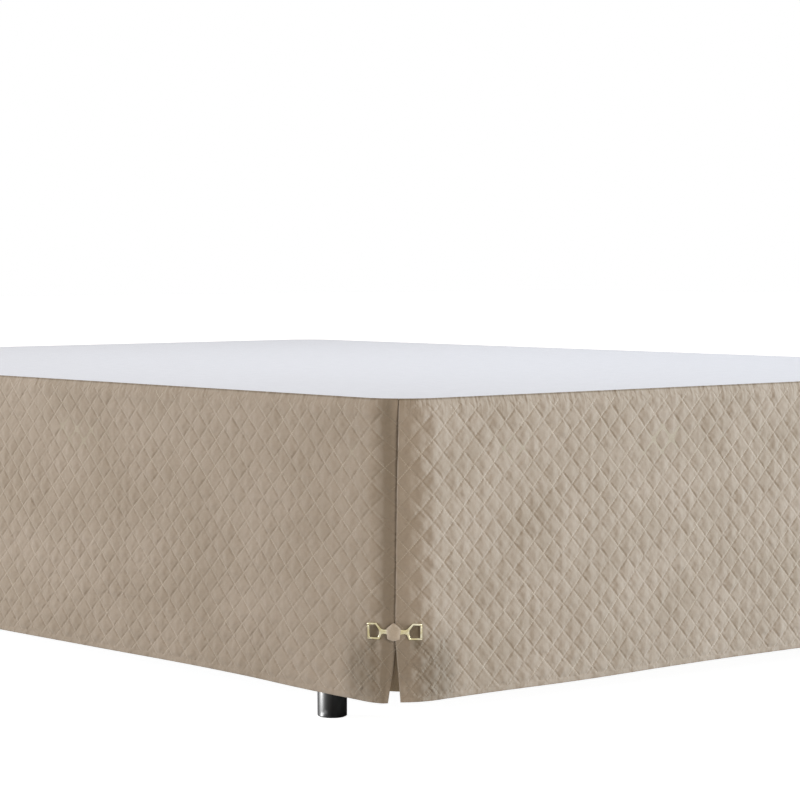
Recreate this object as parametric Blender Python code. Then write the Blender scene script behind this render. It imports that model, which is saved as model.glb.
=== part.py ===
"""Quilted bed skirt on a plain box bed base.

Three quilted panels hang from a flat deck sheet that lies on the base: two long sides and
the foot.  They meet in a slit at each foot corner, over a plain underlay.  A two-ended
buckle with a cloth-covered boss bridges each slit near the hem.  The head end is open.

Frame: metres, +Z up, the floor at Z = 0, the head of the bed towards +Y, the origin on
the floor under the middle of the bed.
"""

import math
from typing import NamedTuple

import bmesh
import bpy
from mathutils import Vector

# ---- Bed base and legs ---------------------------------------------------------------
BED_WIDTH = 1.380
BED_LENGTH = 1.880
BASE_HEIGHT = 0.270
BASE_CORNER_RADIUS = 0.050
BASE_EDGE_ROUNDING = 0.003
LEG_DIAMETER = 0.037
LEG_FOOT_ROUNDING = 0.0015
LEG_SIDE_INSET = 0.057  # leg axis to the long side of the base
LEG_END_INSET = 0.193  # leg axis to the foot or head face of the base
MIDDLE_LEG_INSET = 0.345  # axis of a middle leg to the long side

# ---- Skirt ---------------------------------------------------------------------------
SKIRT_DROP = 0.360  # deck to hem
HEM_CLEARANCE = 0.046  # hem to floor
DECK_THICKNESS = 0.0012
SEAM_GAP = 0.0003  # between pieces that are sewn together or rest on each other
HANG_GAP = 0.009  # side of the base to the back of a panel
STITCH_THICKNESS = 0.0012  # panel thickness along the quilting lines
DIAMOND_PUFF = 0.0020  # how far a diamond's middle stands above its stitching

# ---- Quilting: rows and columns are half diamonds --------------------------------------
QUILT_ROWS = 22
HALF_DIAMOND = SKIRT_DROP / QUILT_ROWS
BACK_ROW_STEP = 5  # half diamonds between the rows of the flat back
BACK_COLUMN_STEP = 3  # and between its columns, on a straight stretch
DIP_ROWS = 2  # half diamonds below the deck seam in which a side panel sinks in

# ---- Slit at each foot corner ----------------------------------------------------------
DIP_DEPTH = 0.0035  # the side panel's edge sinks this far in, behind the foot panel's edge
EDGE_SHIFT_REACH = 0.040  # cloth this near the corner line follows its edge sideways

# ---- Underlay behind each slit ---------------------------------------------------------
UNDERLAY_GAP = 0.0022  # side of the base to the underlay
UNDERLAY_THICKNESS = 0.0012
UNDERLAY_HALF_ANGLE = math.radians(38)
UNDERLAY_STEPS = 8
UNDERLAY_SHORTFALL = 0.0105  # how much higher than the hem it ends
UNDERLAY_DRIFT = 0.006  # its foot hangs this much further in, below the base

# ---- Buckle ----------------------------------------------------------------------------
BUCKLE_HEIGHT_ABOVE_HEM = 0.084
BUCKLE_TURN = math.radians(5.5)  # its middle sits this far round the corner from the slit
BUCKLE_THICKNESS = 0.0022
BUCKLE_SINK = 0.0007  # its back lies this far below the tops of the diamonds, between them
BUCKLE_BEND_AT = 0.008  # each end is bent back from here, to lie on its panel
BUCKLE_FOOT_BEND = math.radians(14)
BUCKLE_SIDE_BEND = math.radians(16.5)
BOSS_EDGE_HEIGHT = 0.0020
BOSS_CROWN_HEIGHT = 0.0020
BOSS_CROWN_INSET = 0.0028

# ---- Heights -----------------------------------------------------------------------------
TOP = HEM_CLEARANCE + SKIRT_DROP
BASE_TOP = TOP - DECK_THICKNESS - SEAM_GAP
BASE_BOTTOM = BASE_TOP - BASE_HEIGHT
LEG_TOP = BASE_BOTTOM - SEAM_GAP
BUCKLE_Z = HEM_CLEARANCE + BUCKLE_HEIGHT_ABOVE_HEM

# ---- Turning and rounding ------------------------------------------------------------------
CORNER_STEPS = 8
LEG_SIDES = 16
RIGHT_ANGLE = math.pi / 2
CORNER_TURN_RADIUS = BASE_CORNER_RADIUS + HANG_GAP  # of a panel's back, round a corner
# A panel turns a corner in flat facets: this moves their middles out to the true radius.
FACET_ALLOWANCE = CORNER_TURN_RADIUS * (1 / math.cos(HALF_DIAMOND / CORNER_TURN_RADIUS / 2) - 1)


class EdgeRow(NamedTuple):
    """How far each panel's edge passes the corner line, at one drop below the deck."""

    drop: float
    over: float  # foot panel, towards the side panel
    under: float  # side panel, behind the foot panel


SLIT_EDGES = (
    EdgeRow(0.000, 0.0000, -0.0010),
    EdgeRow(0.033, 0.0008, -0.0010),
    EdgeRow(0.060, 0.0015, 0.0020),
    EdgeRow(0.110, 0.0026, 0.0020),
    EdgeRow(0.240, 0.0040, 0.0010),
    EdgeRow(0.285, 0.0045, -0.0025),
    EdgeRow(0.343, -0.0004, -0.0128),
    EdgeRow(0.360, -0.0015, -0.0148),
)


class Fold(NamedTuple):
    """A soft vertical wave in a hanging panel, full at the hem and nothing at the deck."""

    distance: float  # along the panel, from its corner line at the left foot corner
    width: float
    depth: float  # outwards


SIDE_FOLDS = (
    Fold(0.15, 0.14, 0.0045),
    Fold(0.40, 0.24, -0.0045),
    Fold(0.86, 0.30, 0.0040),
    Fold(1.25, 0.22, -0.0030),
    Fold(1.58, 0.20, 0.0035),
)
FOOT_FOLDS = (
    Fold(0.28, 0.16, 0.0045),
    Fold(0.55, 0.20, -0.0035),
    Fold(0.88, 0.22, 0.0040),
    Fold(1.20, 0.14, -0.0025),
)


class Arc(NamedTuple):
    """A stretch of a panel's run that turns about one corner of the base."""

    centre: Vector
    start: float
    sweep: float


class Straight(NamedTuple):
    """A stretch of a panel's run along one side of the base."""

    start: Vector
    normal: float
    length: float


class Edge(NamedTuple):
    """One upright edge of a panel: its run position and which way is outwards along the run."""

    position: float
    sign: int
    kind: str  # "over", "under" or "plain"


def clear_scene():
    """Remove every object that the scene starts with."""
    for obj in list(bpy.data.objects):
        bpy.data.objects.remove(obj, do_unlink=True)


def make_material(name, colour, roughness, metallic=0.0):
    """A Principled material with one colour."""
    material = bpy.data.materials.new(name)
    material.use_nodes = True
    shader = material.node_tree.nodes["Principled BSDF"]
    shader.inputs["Base Color"].default_value = (*colour, 1.0)
    shader.inputs["Roughness"].default_value = roughness
    shader.inputs["Metallic"].default_value = metallic
    return material


def add_object(name, bm, material, smooth_angle=None):
    """Turn a bmesh into a named object, its faces pointing outwards."""
    bmesh.ops.recalc_face_normals(bm, faces=bm.faces[:])
    if bm.calc_volume(signed=True) < 0:
        bmesh.ops.reverse_faces(bm, faces=bm.faces[:])
    mesh = bpy.data.meshes.new(name)
    bm.to_mesh(mesh)
    bm.free()
    mesh.materials.append(material)
    if smooth_angle is not None:
        mesh.shade_smooth()
        mesh.set_sharp_from_angle(angle=math.radians(smooth_angle))
    obj = bpy.data.objects.new(name, mesh)
    bpy.context.scene.collection.objects.link(obj)
    return obj


def direction(angle):
    """The level unit vector at an angle from +X."""
    return Vector((math.cos(angle), math.sin(angle), 0.0))


def corner_centre(x_side, y_side):
    """The point that a corner of the base turns about."""
    return Vector(
        (
            x_side * (BED_WIDTH / 2 - BASE_CORNER_RADIUS),
            y_side * (BED_LENGTH / 2 - BASE_CORNER_RADIUS),
            0.0,
        )
    )


def rounded_outline(offset):
    """Points of the base's rounded outline, moved outwards by an offset."""
    radius = BASE_CORNER_RADIUS + offset
    points = []
    for quarter, sides in enumerate(((1, 1), (-1, 1), (-1, -1), (1, -1))):
        for step in range(CORNER_STEPS + 1):
            angle = (quarter + step / CORNER_STEPS) * RIGHT_ANGLE
            points.append(corner_centre(*sides) + radius * direction(angle))
    return points


def raised_outline(points, bottom, top):
    """A bmesh of one upright solid over a closed outline."""
    bm = bmesh.new()
    face = bm.faces.new([bm.verts.new((p.x, p.y, bottom)) for p in points])
    raised = bmesh.ops.extrude_face_region(bm, geom=[face])
    moved = [item for item in raised["geom"] if isinstance(item, bmesh.types.BMVert)]
    bmesh.ops.translate(bm, verts=moved, vec=(0.0, 0.0, top - bottom))
    return bm


def build_base(material):
    """The box base, its upper and lower rims rounded."""
    bm = raised_outline(rounded_outline(0.0), BASE_BOTTOM, BASE_TOP)
    rims = [e for e in bm.edges if abs(e.verts[0].co.z - e.verts[1].co.z) < SEAM_GAP]
    bmesh.ops.bevel(
        bm,
        geom=rims,
        offset=BASE_EDGE_ROUNDING,
        segments=2,
        profile=0.5,
        affect="EDGES",
        material=-1,
    )
    return add_object("bed_base", bm, material, smooth_angle=40)


def build_legs(material):
    """Six round legs: one near each corner and two between, the rim of each foot rounded."""
    places = []
    for row in (-1, 0, 1):
        inset = LEG_SIDE_INSET if row else MIDDLE_LEG_INSET
        for side in (-1, 1):
            places.append((side * (BED_WIDTH / 2 - inset), row * (BED_LENGTH / 2 - LEG_END_INSET)))
    for number, (x, y) in enumerate(places, start=1):
        bm = bmesh.new()
        bmesh.ops.create_cone(
            bm,
            cap_ends=True,
            segments=LEG_SIDES,
            radius1=LEG_DIAMETER / 2,
            radius2=LEG_DIAMETER / 2,
            depth=LEG_TOP,
        )
        bmesh.ops.translate(bm, verts=bm.verts[:], vec=(0.0, 0.0, LEG_TOP / 2))
        rim = [e for e in bm.edges if max(v.co.z for v in e.verts) < SEAM_GAP]
        bmesh.ops.bevel(
            bm,
            geom=rim,
            offset=LEG_FOOT_ROUNDING,
            segments=1,
            profile=0.5,
            affect="EDGES",
            material=-1,
        )
        leg = add_object(f"leg_{number}", bm, material, smooth_angle=50)
        leg.location = (x, y, 0.0)


def build_deck(material):
    """The plain sheet that lies on the base, and that the panels are sewn round."""
    bm = raised_outline(rounded_outline(HANG_GAP - SEAM_GAP), TOP - DECK_THICKNESS, TOP)
    return add_object("deck_sheet", bm, material)


def piece_length(piece):
    """The length of one stretch of a run, measured along the backs of the panels."""
    if isinstance(piece, Straight):
        return piece.length
    return CORNER_TURN_RADIUS * piece.sweep


def run_length(run):
    """The length of a whole run."""
    return sum(piece_length(piece) for piece in run)


def run_place(run, position):
    """The point on a run at a position along it, and the outward direction there."""
    left = position
    for piece in run:
        if left <= piece_length(piece) or piece is run[-1]:
            break
        left -= piece_length(piece)
    if isinstance(piece, Straight):
        outward = direction(piece.normal)
        along = direction(piece.normal + RIGHT_ANGLE)
        return piece.start + HANG_GAP * outward + left * along, outward
    outward = direction(piece.start + left / CORNER_TURN_RADIUS)
    return piece.centre + CORNER_TURN_RADIUS * outward, outward


def on_arc(run, position):
    """True where the run turns a corner at this position, or within half a diamond of it."""
    ends = (position - HALF_DIAMOND, position + HALF_DIAMOND)
    first, last = (run_place(run, max(0.0, end))[1] for end in ends)
    return first.angle(last) > math.radians(1)


def edge_shift(drop, kind):
    """How far a panel's edge passes the corner line at this drop."""
    if kind == "plain":
        return 0.0
    for upper, lower in zip(SLIT_EDGES, SLIT_EDGES[1:]):
        if drop <= lower.drop:
            share = (drop - upper.drop) / (lower.drop - upper.drop)
            start, end = getattr(upper, kind), getattr(lower, kind)
            return start + share * (end - start)
    return getattr(SLIT_EDGES[-1], kind)


def drape(folds, distance, drop):
    """How far a panel's soft waves carry it outwards."""
    total = 0.0
    for fold in folds:
        reach = abs(distance - fold.distance) / fold.width
        if reach < 1:
            total += fold.depth * (0.5 + 0.5 * math.cos(math.pi * reach))
    return total * drop / SKIRT_DROP


class Panel:
    """A quilted panel: a run round the base, its edges and its soft waves."""

    def __init__(self, name, run, edges, folds, fold_start):
        self.name = name
        self.run = run
        self.edges = edges
        self.folds = folds
        self.fold_start = fold_start
        self.columns = self.column_positions()

    def column_positions(self):
        """Run positions of the upright grid lines, one for each half diamond."""
        low, high = (edge.position for edge in self.edges)
        count = 2 * round((high - low) / HALF_DIAMOND / 2)
        return [low + (high - low) * step / count for step in range(count + 1)]

    def shifted(self, position, drop):
        """A run position after the panel's edges have moved sideways."""
        moved = position
        for edge in self.edges:
            distance = abs(position - edge.position)
            weight = max(0.0, 1.0 - distance / EDGE_SHIFT_REACH) ** 2
            moved += edge.sign * weight * edge_shift(drop, edge.kind)
        return moved

    def dip(self, position, drop):
        """How far the last half diamond beside a slit sinks in."""
        sunk = 0.0
        for edge in self.edges:
            if edge.kind == "under":
                across = 1.0 - abs(position - edge.position) / HALF_DIAMOND
                down = drop / (DIP_ROWS * HALF_DIAMOND)
                sunk += DIP_DEPTH * max(0.0, across) * min(1.0, down)
        return sunk

    def point(self, column, row, raised):
        """A grid point of the panel, raised outwards from its back."""
        position = self.columns[column]
        drop = row * HALF_DIAMOND
        place, outward = run_place(self.run, self.shifted(position, drop))
        distance = abs(position - self.fold_start)
        out = drape(self.folds, distance, drop) - self.dip(position, drop) + raised
        if on_arc(self.run, position):
            out += FACET_ALLOWANCE
        return place + out * outward + Vector((0.0, 0.0, TOP - drop))

    def front_height(self, column, row):
        """Cloth thickness at a grid point: full only in the middle of a diamond."""
        inside = 0 < column < len(self.columns) - 1 and 0 < row < QUILT_ROWS
        puffed = inside and (column + row) % 2 == 1
        return STITCH_THICKNESS + (DIAMOND_PUFF if puffed else 0.0)

    def back_columns(self):
        """The columns that the flat back keeps."""
        last = len(self.columns) - 1
        kept = []
        for column, position in enumerate(self.columns):
            stepped = column % BACK_COLUMN_STEP == 0 or column == last
            if stepped or on_arc(self.run, position):
                kept.append(column)
        return kept

    def grid(self, bm, columns, rows, height):
        """A grid of faces whose points lie on the panel, as {(column, row): vertex}."""
        across, down = len(columns) - 1, len(rows) - 1
        made = bmesh.ops.create_grid(bm, x_segments=across, y_segments=down, size=0.5)
        points = {}
        for vertex in made["verts"]:
            column = columns[round((vertex.co.x + 0.5) * across)]
            row = rows[round((0.5 - vertex.co.y) * down)]
            vertex.co = self.point(column, row, height(column, row))
            points[column, row] = vertex
        return points

    def crease(self, bm, front):
        """Split each front face along the stitching line that crosses it."""
        numbers = {vertex: key for key, vertex in front.items()}
        for face in [f for f in bm.faces if len(f.verts) == 4]:
            corners = list(face.verts)
            column, row = numbers[corners[0]]
            first = (column + row) % 2
            bmesh.utils.face_split(face, corners[first], corners[first + 2])

    def close_rim(self, bm, front, back, kept, everywhere, key):
        """Join one border of the front to the same border of the back."""
        for start, end in zip(kept, kept[1:]):
            steps = [step for step in everywhere if start <= step <= end]
            border = [front[key(step)] for step in steps]
            bm.faces.new(border + [back[key(end)], back[key(start)]])

    def build(self, material):
        """The panel as one closed solid."""
        all_columns = list(range(len(self.columns)))
        all_rows = list(range(QUILT_ROWS + 1))
        kept_columns = self.back_columns()
        kept_rows = [
            row
            for row in all_rows
            if row in (0, DIP_ROWS) or (row > DIP_ROWS and (QUILT_ROWS - row) % BACK_ROW_STEP == 0)
        ]
        bm = bmesh.new()
        front = self.grid(bm, all_columns, all_rows, self.front_height)
        self.crease(bm, front)
        back = self.grid(bm, kept_columns, kept_rows, lambda column, row: 0.0)
        for row in (0, QUILT_ROWS):
            self.close_rim(bm, front, back, kept_columns, all_columns, lambda c, r=row: (c, r))
        for column in (0, all_columns[-1]):
            self.close_rim(bm, front, back, kept_rows, all_rows, lambda r, c=column: (c, r))
        return add_object(self.name, bm, material)


def build_panels(material):
    """The two side panels and the foot panel."""
    half = RIGHT_ANGLE / 2
    side_length = BED_LENGTH - 2 * BASE_CORNER_RADIUS
    foot_length = BED_WIDTH - 2 * BASE_CORNER_RADIUS
    left = Vector((-BED_WIDTH / 2, BED_LENGTH / 2 - BASE_CORNER_RADIUS, 0.0))
    foot = Vector((-BED_WIDTH / 2 + BASE_CORNER_RADIUS, -BED_LENGTH / 2, 0.0))
    right = Vector((BED_WIDTH / 2, -BED_LENGTH / 2 + BASE_CORNER_RADIUS, 0.0))
    left_run = (
        Arc(corner_centre(-1, 1), RIGHT_ANGLE, RIGHT_ANGLE),
        Straight(left, 2 * RIGHT_ANGLE, side_length),
        Arc(corner_centre(-1, -1), 2 * RIGHT_ANGLE, RIGHT_ANGLE),
    )
    foot_run = (
        Arc(corner_centre(-1, -1), 2 * RIGHT_ANGLE, RIGHT_ANGLE),
        Straight(foot, 3 * RIGHT_ANGLE, foot_length),
        Arc(corner_centre(1, -1), 3 * RIGHT_ANGLE, RIGHT_ANGLE),
    )
    right_run = (
        Arc(corner_centre(1, -1), 3 * RIGHT_ANGLE, RIGHT_ANGLE),
        Straight(right, 0.0, side_length),
        Arc(corner_centre(1, 1), 0.0, RIGHT_ANGLE),
    )
    arc = CORNER_TURN_RADIUS * half
    left_end = run_length(left_run) - arc
    foot_end = run_length(foot_run) - arc
    right_end = run_length(right_run)
    panels = (
        Panel(
            "side_panel_left",
            left_run,
            (Edge(0.0, -1, "plain"), Edge(left_end, 1, "under")),
            SIDE_FOLDS,
            left_end,
        ),
        Panel(
            "foot_panel",
            foot_run,
            (Edge(arc, -1, "over"), Edge(foot_end, 1, "over")),
            FOOT_FOLDS,
            arc,
        ),
        Panel(
            "side_panel_right",
            right_run,
            (Edge(arc, -1, "under"), Edge(right_end, 1, "plain")),
            SIDE_FOLDS,
            arc,
        ),
    )
    for panel in panels:
        panel.build(material)


def build_underlay(name, centre, middle, material):
    """The plain cloth behind one slit: it hangs from the deck and drifts in at its foot."""
    foot_z = HEM_CLEARANCE + UNDERLAY_SHORTFALL
    levels = ((BASE_TOP, 0.0), (BASE_BOTTOM, 0.0), (foot_z, UNDERLAY_DRIFT))
    inner = BASE_CORNER_RADIUS + UNDERLAY_GAP
    bm = bmesh.new()
    made = bmesh.ops.create_grid(
        bm, x_segments=UNDERLAY_STEPS, y_segments=len(levels) - 1, size=0.5
    )
    for vertex in made["verts"]:
        height, drift = levels[round((0.5 - vertex.co.y) * (len(levels) - 1))]
        angle = middle + 2 * vertex.co.x * UNDERLAY_HALF_ANGLE
        vertex.co = centre + (inner - drift) * direction(angle) + Vector((0.0, 0.0, height))
    raised = bmesh.ops.extrude_face_region(bm, geom=bm.faces[:])
    for item in raised["geom"]:
        if isinstance(item, bmesh.types.BMVert):
            radial = item.co - centre
            item.co += UNDERLAY_THICKNESS * Vector((radial.x, radial.y, 0.0)).normalized()
    return add_object(name, bm, material, smooth_angle=40)


# Half of the buckle's face, in millimetres from its middle: across, up.
HALF_FACE = (
    (0.0, 3.1),
    (8.0, 3.1),
    (12.0, 2.5),
    (15.5, 3.4),
    (22.0, 10.2),
    (33.0, 9.7),
    (33.6, 9.0),
    (33.6, -9.0),
    (33.0, -9.7),
    (17.5, -9.7),
    (15.0, -3.4),
    (12.0, -2.5),
    (8.0, -3.1),
    (0.0, -3.1),
)
FRAME_HOLE = ((18.4, 1.8), (23.0, 7.8), (31.0, 7.3), (31.0, -7.3), (19.5, -7.3), (18.0, -1.8))
BOSS_FACE = ((0.0, 10.5), (7.6, 4.2), (6.6, -8.2), (0.0, -10.6), (-6.6, -8.2), (-7.6, 4.2))
MILLIMETRE = 0.001


def closed_loop(bm, points):
    """Edges of a closed outline given in millimetres."""
    vertices = [bm.verts.new((x * MILLIMETRE, y * MILLIMETRE, 0.0)) for x, y in points]
    return [bm.edges.new(pair) for pair in zip(vertices, vertices[1:] + vertices[:1])]


def set_on_corner(bm, centre, middle, lift):
    """Turn a face's own frame (across, up, outwards) to a corner, at the buckle's height."""
    outward = direction(middle)
    across = direction(middle + RIGHT_ANGLE)
    for vertex in bm.verts:
        x, y, z = vertex.co
        place = centre + across * x + outward * (lift + z)
        vertex.co = Vector((place.x, place.y, BUCKLE_Z + y))


def build_buckle(name, centre, middle, side, material):
    """One buckle: two stirrup-shaped ends and the bar between them, in one flat casting.

    The side panel lies at the end whose across has the sign of side.
    """
    bm = bmesh.new()
    mirrored = [(-x, y) for x, y in reversed(HALF_FACE[1:-1])]
    closed_loop(bm, list(HALF_FACE) + mirrored)
    closed_loop(bm, FRAME_HOLE)
    closed_loop(bm, [(-x, y) for x, y in FRAME_HOLE])
    bmesh.ops.triangle_fill(bm, use_beauty=True, use_dissolve=False, edges=bm.edges[:])
    raised = bmesh.ops.extrude_face_region(bm, geom=bm.faces[:])
    moved = [item for item in raised["geom"] if isinstance(item, bmesh.types.BMVert)]
    bmesh.ops.translate(bm, verts=moved, vec=(0.0, 0.0, BUCKLE_THICKNESS))
    for vertex in bm.verts:
        beyond = abs(vertex.co.x) - BUCKLE_BEND_AT
        if beyond > 0:
            end = math.copysign(1.0, vertex.co.x)
            bend = BUCKLE_SIDE_BEND if end == side else BUCKLE_FOOT_BEND
            vertex.co.x = end * (BUCKLE_BEND_AT + beyond * math.cos(bend))
            vertex.co.z -= beyond * math.sin(bend)
    set_on_corner(bm, centre, middle, buckle_lift())
    return add_object(name, bm, material)


def build_boss(name, centre, middle, material):
    """The six-sided boss over the middle of a buckle, crowned in front."""
    bm = bmesh.new()
    edges = closed_loop(bm, BOSS_FACE)
    face = bmesh.ops.contextual_create(bm, geom=edges)["faces"][0]
    raised = bmesh.ops.extrude_face_region(bm, geom=[face])["geom"]
    moved = [item for item in raised if isinstance(item, bmesh.types.BMVert)]
    bmesh.ops.translate(bm, verts=moved, vec=(0.0, 0.0, BOSS_EDGE_HEIGHT))
    front = [item for item in raised if isinstance(item, bmesh.types.BMFace)]
    bmesh.ops.inset_region(bm, faces=front, thickness=BOSS_CROWN_INSET, use_even_offset=True)
    crown = front[0].verts[:]
    bmesh.ops.translate(bm, verts=crown, vec=(0.0, 0.0, BOSS_CROWN_HEIGHT))
    set_on_corner(bm, centre, middle, buckle_lift() + BUCKLE_THICKNESS + SEAM_GAP)
    return add_object(name, bm, material)


def buckle_lift():
    """Distance from a corner's centre to the back of its buckle."""
    cloth = FACET_ALLOWANCE + STITCH_THICKNESS + DIAMOND_PUFF
    return CORNER_TURN_RADIUS + cloth - BUCKLE_SINK


def main():
    """Build the whole part."""
    clear_scene()
    quilted = make_material("quilted_microfibre", (0.45, 0.37, 0.28), 0.9)
    deck = make_material("plain_deck_cloth", (0.72, 0.68, 0.60), 0.95)
    lining = make_material("plain_underlay_cloth", (0.14, 0.11, 0.08), 0.95)
    ticking = make_material("base_cover_cloth", (0.78, 0.76, 0.72), 0.95)
    gold = make_material("pale_gold_metal", (0.83, 0.72, 0.42), 0.25, 1.0)
    lacquer = make_material("black_lacquer", (0.01, 0.011, 0.011), 0.15)
    build_base(ticking)
    build_legs(lacquer)
    build_deck(deck)
    build_panels(quilted)
    for side, suffix in ((-1, "left"), (1, "right")):
        centre = corner_centre(side, -1)
        middle = 3 * RIGHT_ANGLE + side * RIGHT_ANGLE / 2
        build_underlay(f"corner_underlay_{suffix}", centre, middle, lining)
        turned = middle + side * BUCKLE_TURN
        build_buckle(f"buckle_{suffix}", centre, turned, side, gold)
        build_boss(f"buckle_boss_{suffix}", centre, turned, quilted)


main()
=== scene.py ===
"""Quilted bed skirt on a box bed base: its cloth, metal and lacquer, the light and the camera.

Three quilted panels hang from a plain deck sheet and meet in a slit at each foot corner,
over a dark underlay.  A two-ended buckle with a cloth-covered boss bridges each slit.

Metres, +Z up, the floor at Z = 0, the head of the bed towards +Y, and the origin on the
floor under the middle of the bed.
"""

import logging
import math
from dataclasses import dataclass
from enum import Enum
from typing import Iterable, Mapping, Sequence, Union

import bmesh
import bpy
import numpy as np
from mathutils import Matrix, Vector


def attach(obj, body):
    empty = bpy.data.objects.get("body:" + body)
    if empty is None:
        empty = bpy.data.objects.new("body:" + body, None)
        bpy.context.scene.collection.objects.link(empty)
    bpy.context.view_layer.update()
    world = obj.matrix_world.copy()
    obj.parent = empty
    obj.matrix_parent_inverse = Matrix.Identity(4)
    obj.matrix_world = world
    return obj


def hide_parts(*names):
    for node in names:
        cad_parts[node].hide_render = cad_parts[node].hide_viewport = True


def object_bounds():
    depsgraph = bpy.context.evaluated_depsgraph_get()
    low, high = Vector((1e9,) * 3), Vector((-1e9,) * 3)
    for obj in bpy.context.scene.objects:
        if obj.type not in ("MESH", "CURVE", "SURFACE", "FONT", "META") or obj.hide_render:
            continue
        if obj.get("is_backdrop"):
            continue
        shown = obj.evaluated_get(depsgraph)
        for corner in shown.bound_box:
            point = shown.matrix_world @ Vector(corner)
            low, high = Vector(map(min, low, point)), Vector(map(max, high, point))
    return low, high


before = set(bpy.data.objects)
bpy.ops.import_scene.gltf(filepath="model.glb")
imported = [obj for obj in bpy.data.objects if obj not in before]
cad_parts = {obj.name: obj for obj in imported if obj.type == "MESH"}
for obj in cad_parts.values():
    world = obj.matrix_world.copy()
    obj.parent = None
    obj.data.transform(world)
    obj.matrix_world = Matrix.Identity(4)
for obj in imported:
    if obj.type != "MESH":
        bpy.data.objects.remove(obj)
CAD_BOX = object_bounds()

LOG = logging.getLogger("bed_skirt")
MM = 0.001
RIGHT_ANGLE = math.pi / 2

Array = np.ndarray
Pair = tuple[float, float]
Four = tuple[float, float, float, float]
BMesh = bmesh.types.BMesh
BMVert = bmesh.types.BMVert
BMEdge = bmesh.types.BMEdge
BMFace = bmesh.types.BMFace
Material = bpy.types.Material
Piece = bpy.types.Object
Socket = bpy.types.NodeSocket
SocketValue = Union[Socket, float, Sequence[float]]


# ---- Shared sizes ----


@dataclass(frozen=True)
class BedSizes:
    """The sizes that the pieces of the bed share."""

    width: float = 1.380
    length: float = 1.880
    base_height: float = 0.270
    corner_radius: float = 0.050
    skirt_drop: float = 0.360
    hem_clearance: float = 0.046
    deck_thickness: float = 0.0012
    seam_gap: float = 0.0003
    hang_gap: float = 0.009
    quilt_rows: int = 22

    @property
    def top(self) -> float:
        """Height of the upper side of the deck sheet."""
        return self.hem_clearance + self.skirt_drop

    @property
    def base_top(self) -> float:
        """Height of the top of the box base."""
        return self.top - self.deck_thickness - self.seam_gap

    @property
    def base_bottom(self) -> float:
        """Height of the underside of the box base."""
        return self.base_top - self.base_height

    @property
    def half_diamond(self) -> float:
        """Half the height of one quilted diamond."""
        return self.skirt_drop / self.quilt_rows

    @property
    def turn_radius(self) -> float:
        """Radius of a panel's back where it turns a corner."""
        return self.corner_radius + self.hang_gap

    def corner(self, x_side: int, y_side: int) -> Vector:
        """The upright axis that one corner of the base turns about.

        Args:
            x_side: -1 for the left corners, 1 for the right ones.
            y_side: -1 for the foot, 1 for the head.

        Returns:
            The axis's place on the floor.
        """
        x = x_side * (self.width / 2 - self.corner_radius)
        y = y_side * (self.length / 2 - self.corner_radius)
        return Vector((x, y, 0.0))


BED = BedSizes()


class Side(Enum):
    """A long side of the bed, as seen from the foot end: its value is the sign of its X."""

    LEFT = -1
    RIGHT = 1

    @property
    def word(self) -> str:
        """The side's name as piece names give it."""
        return self.name.lower()

    @property
    def foot_corner(self) -> Vector:
        """The axis of this side's corner at the foot."""
        return BED.corner(self.value, -1)

    @property
    def corner_angle(self) -> float:
        """Direction from that axis straight out through the corner."""
        return 3 * RIGHT_ANGLE + self.value * RIGHT_ANGLE / 2


# ---- Small tools ----


def direction(angle: float) -> Vector:
    """The level unit vector at an angle from +X."""
    return Vector((math.cos(angle), math.sin(angle), 0.0))


def ramp(values: Array, start: float, end: float) -> Array:
    """A smooth step from 0 where values are at start to 1 where they are at end."""
    share = np.clip((values - start) / (end - start), 0.0, 1.0)
    return share * share * (3.0 - 2.0 * share)


def soft_noise(rng: np.random.Generator, shape: tuple[int, int], reach: float) -> Array:
    """Smooth random waves with a standard deviation of 1.

    Args:
        rng: The seeded source of the waves.
        shape: Rows and columns of the result.
        reach: Size of one wave, in grid steps.

    Returns:
        An array of that shape.
    """
    pad = int(3 * reach) + 1
    steps = np.arange(-pad, pad + 1)
    kernel = np.exp(-0.5 * (steps / reach) ** 2)
    kernel /= np.linalg.norm(kernel)
    waves = rng.standard_normal((shape[0] + 2 * pad, shape[1] + 2 * pad))
    waves = np.apply_along_axis(np.convolve, 0, waves, kernel, "valid")
    return np.apply_along_axis(np.convolve, 1, waves, kernel, "valid")


def moved_verts(geometry: Iterable[object]) -> list[BMVert]:
    """The vertices among what a bmesh operator returns."""
    return [item for item in geometry if isinstance(item, BMVert)]


def level_edges(bm: BMesh) -> list[BMEdge]:
    """The edges whose two ends lie equally high."""
    return [e for e in bm.edges if abs(e.verts[0].co.z - e.verts[1].co.z) < 1e-6]


def round_edges(
    bm: BMesh, edges: Sequence[BMEdge], radius: float, segments: int, clamp: bool = False
) -> None:
    """Round some edges of a mesh, where asked without letting the roundings overlap."""
    shape = {"offset": radius, "segments": segments, "profile": 0.5, "clamp_overlap": clamp}
    bmesh.ops.bevel(bm, geom=edges, affect="EDGES", material=-1, **shape)


def close_outwards(bm: BMesh) -> None:
    """Point every face of a closed mesh outwards.

    Args:
        bm: The mesh.
    """
    bmesh.ops.recalc_face_normals(bm, faces=bm.faces[:])
    if bm.calc_volume(signed=True) < 0:
        bmesh.ops.reverse_faces(bm, faces=bm.faces[:])


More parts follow.
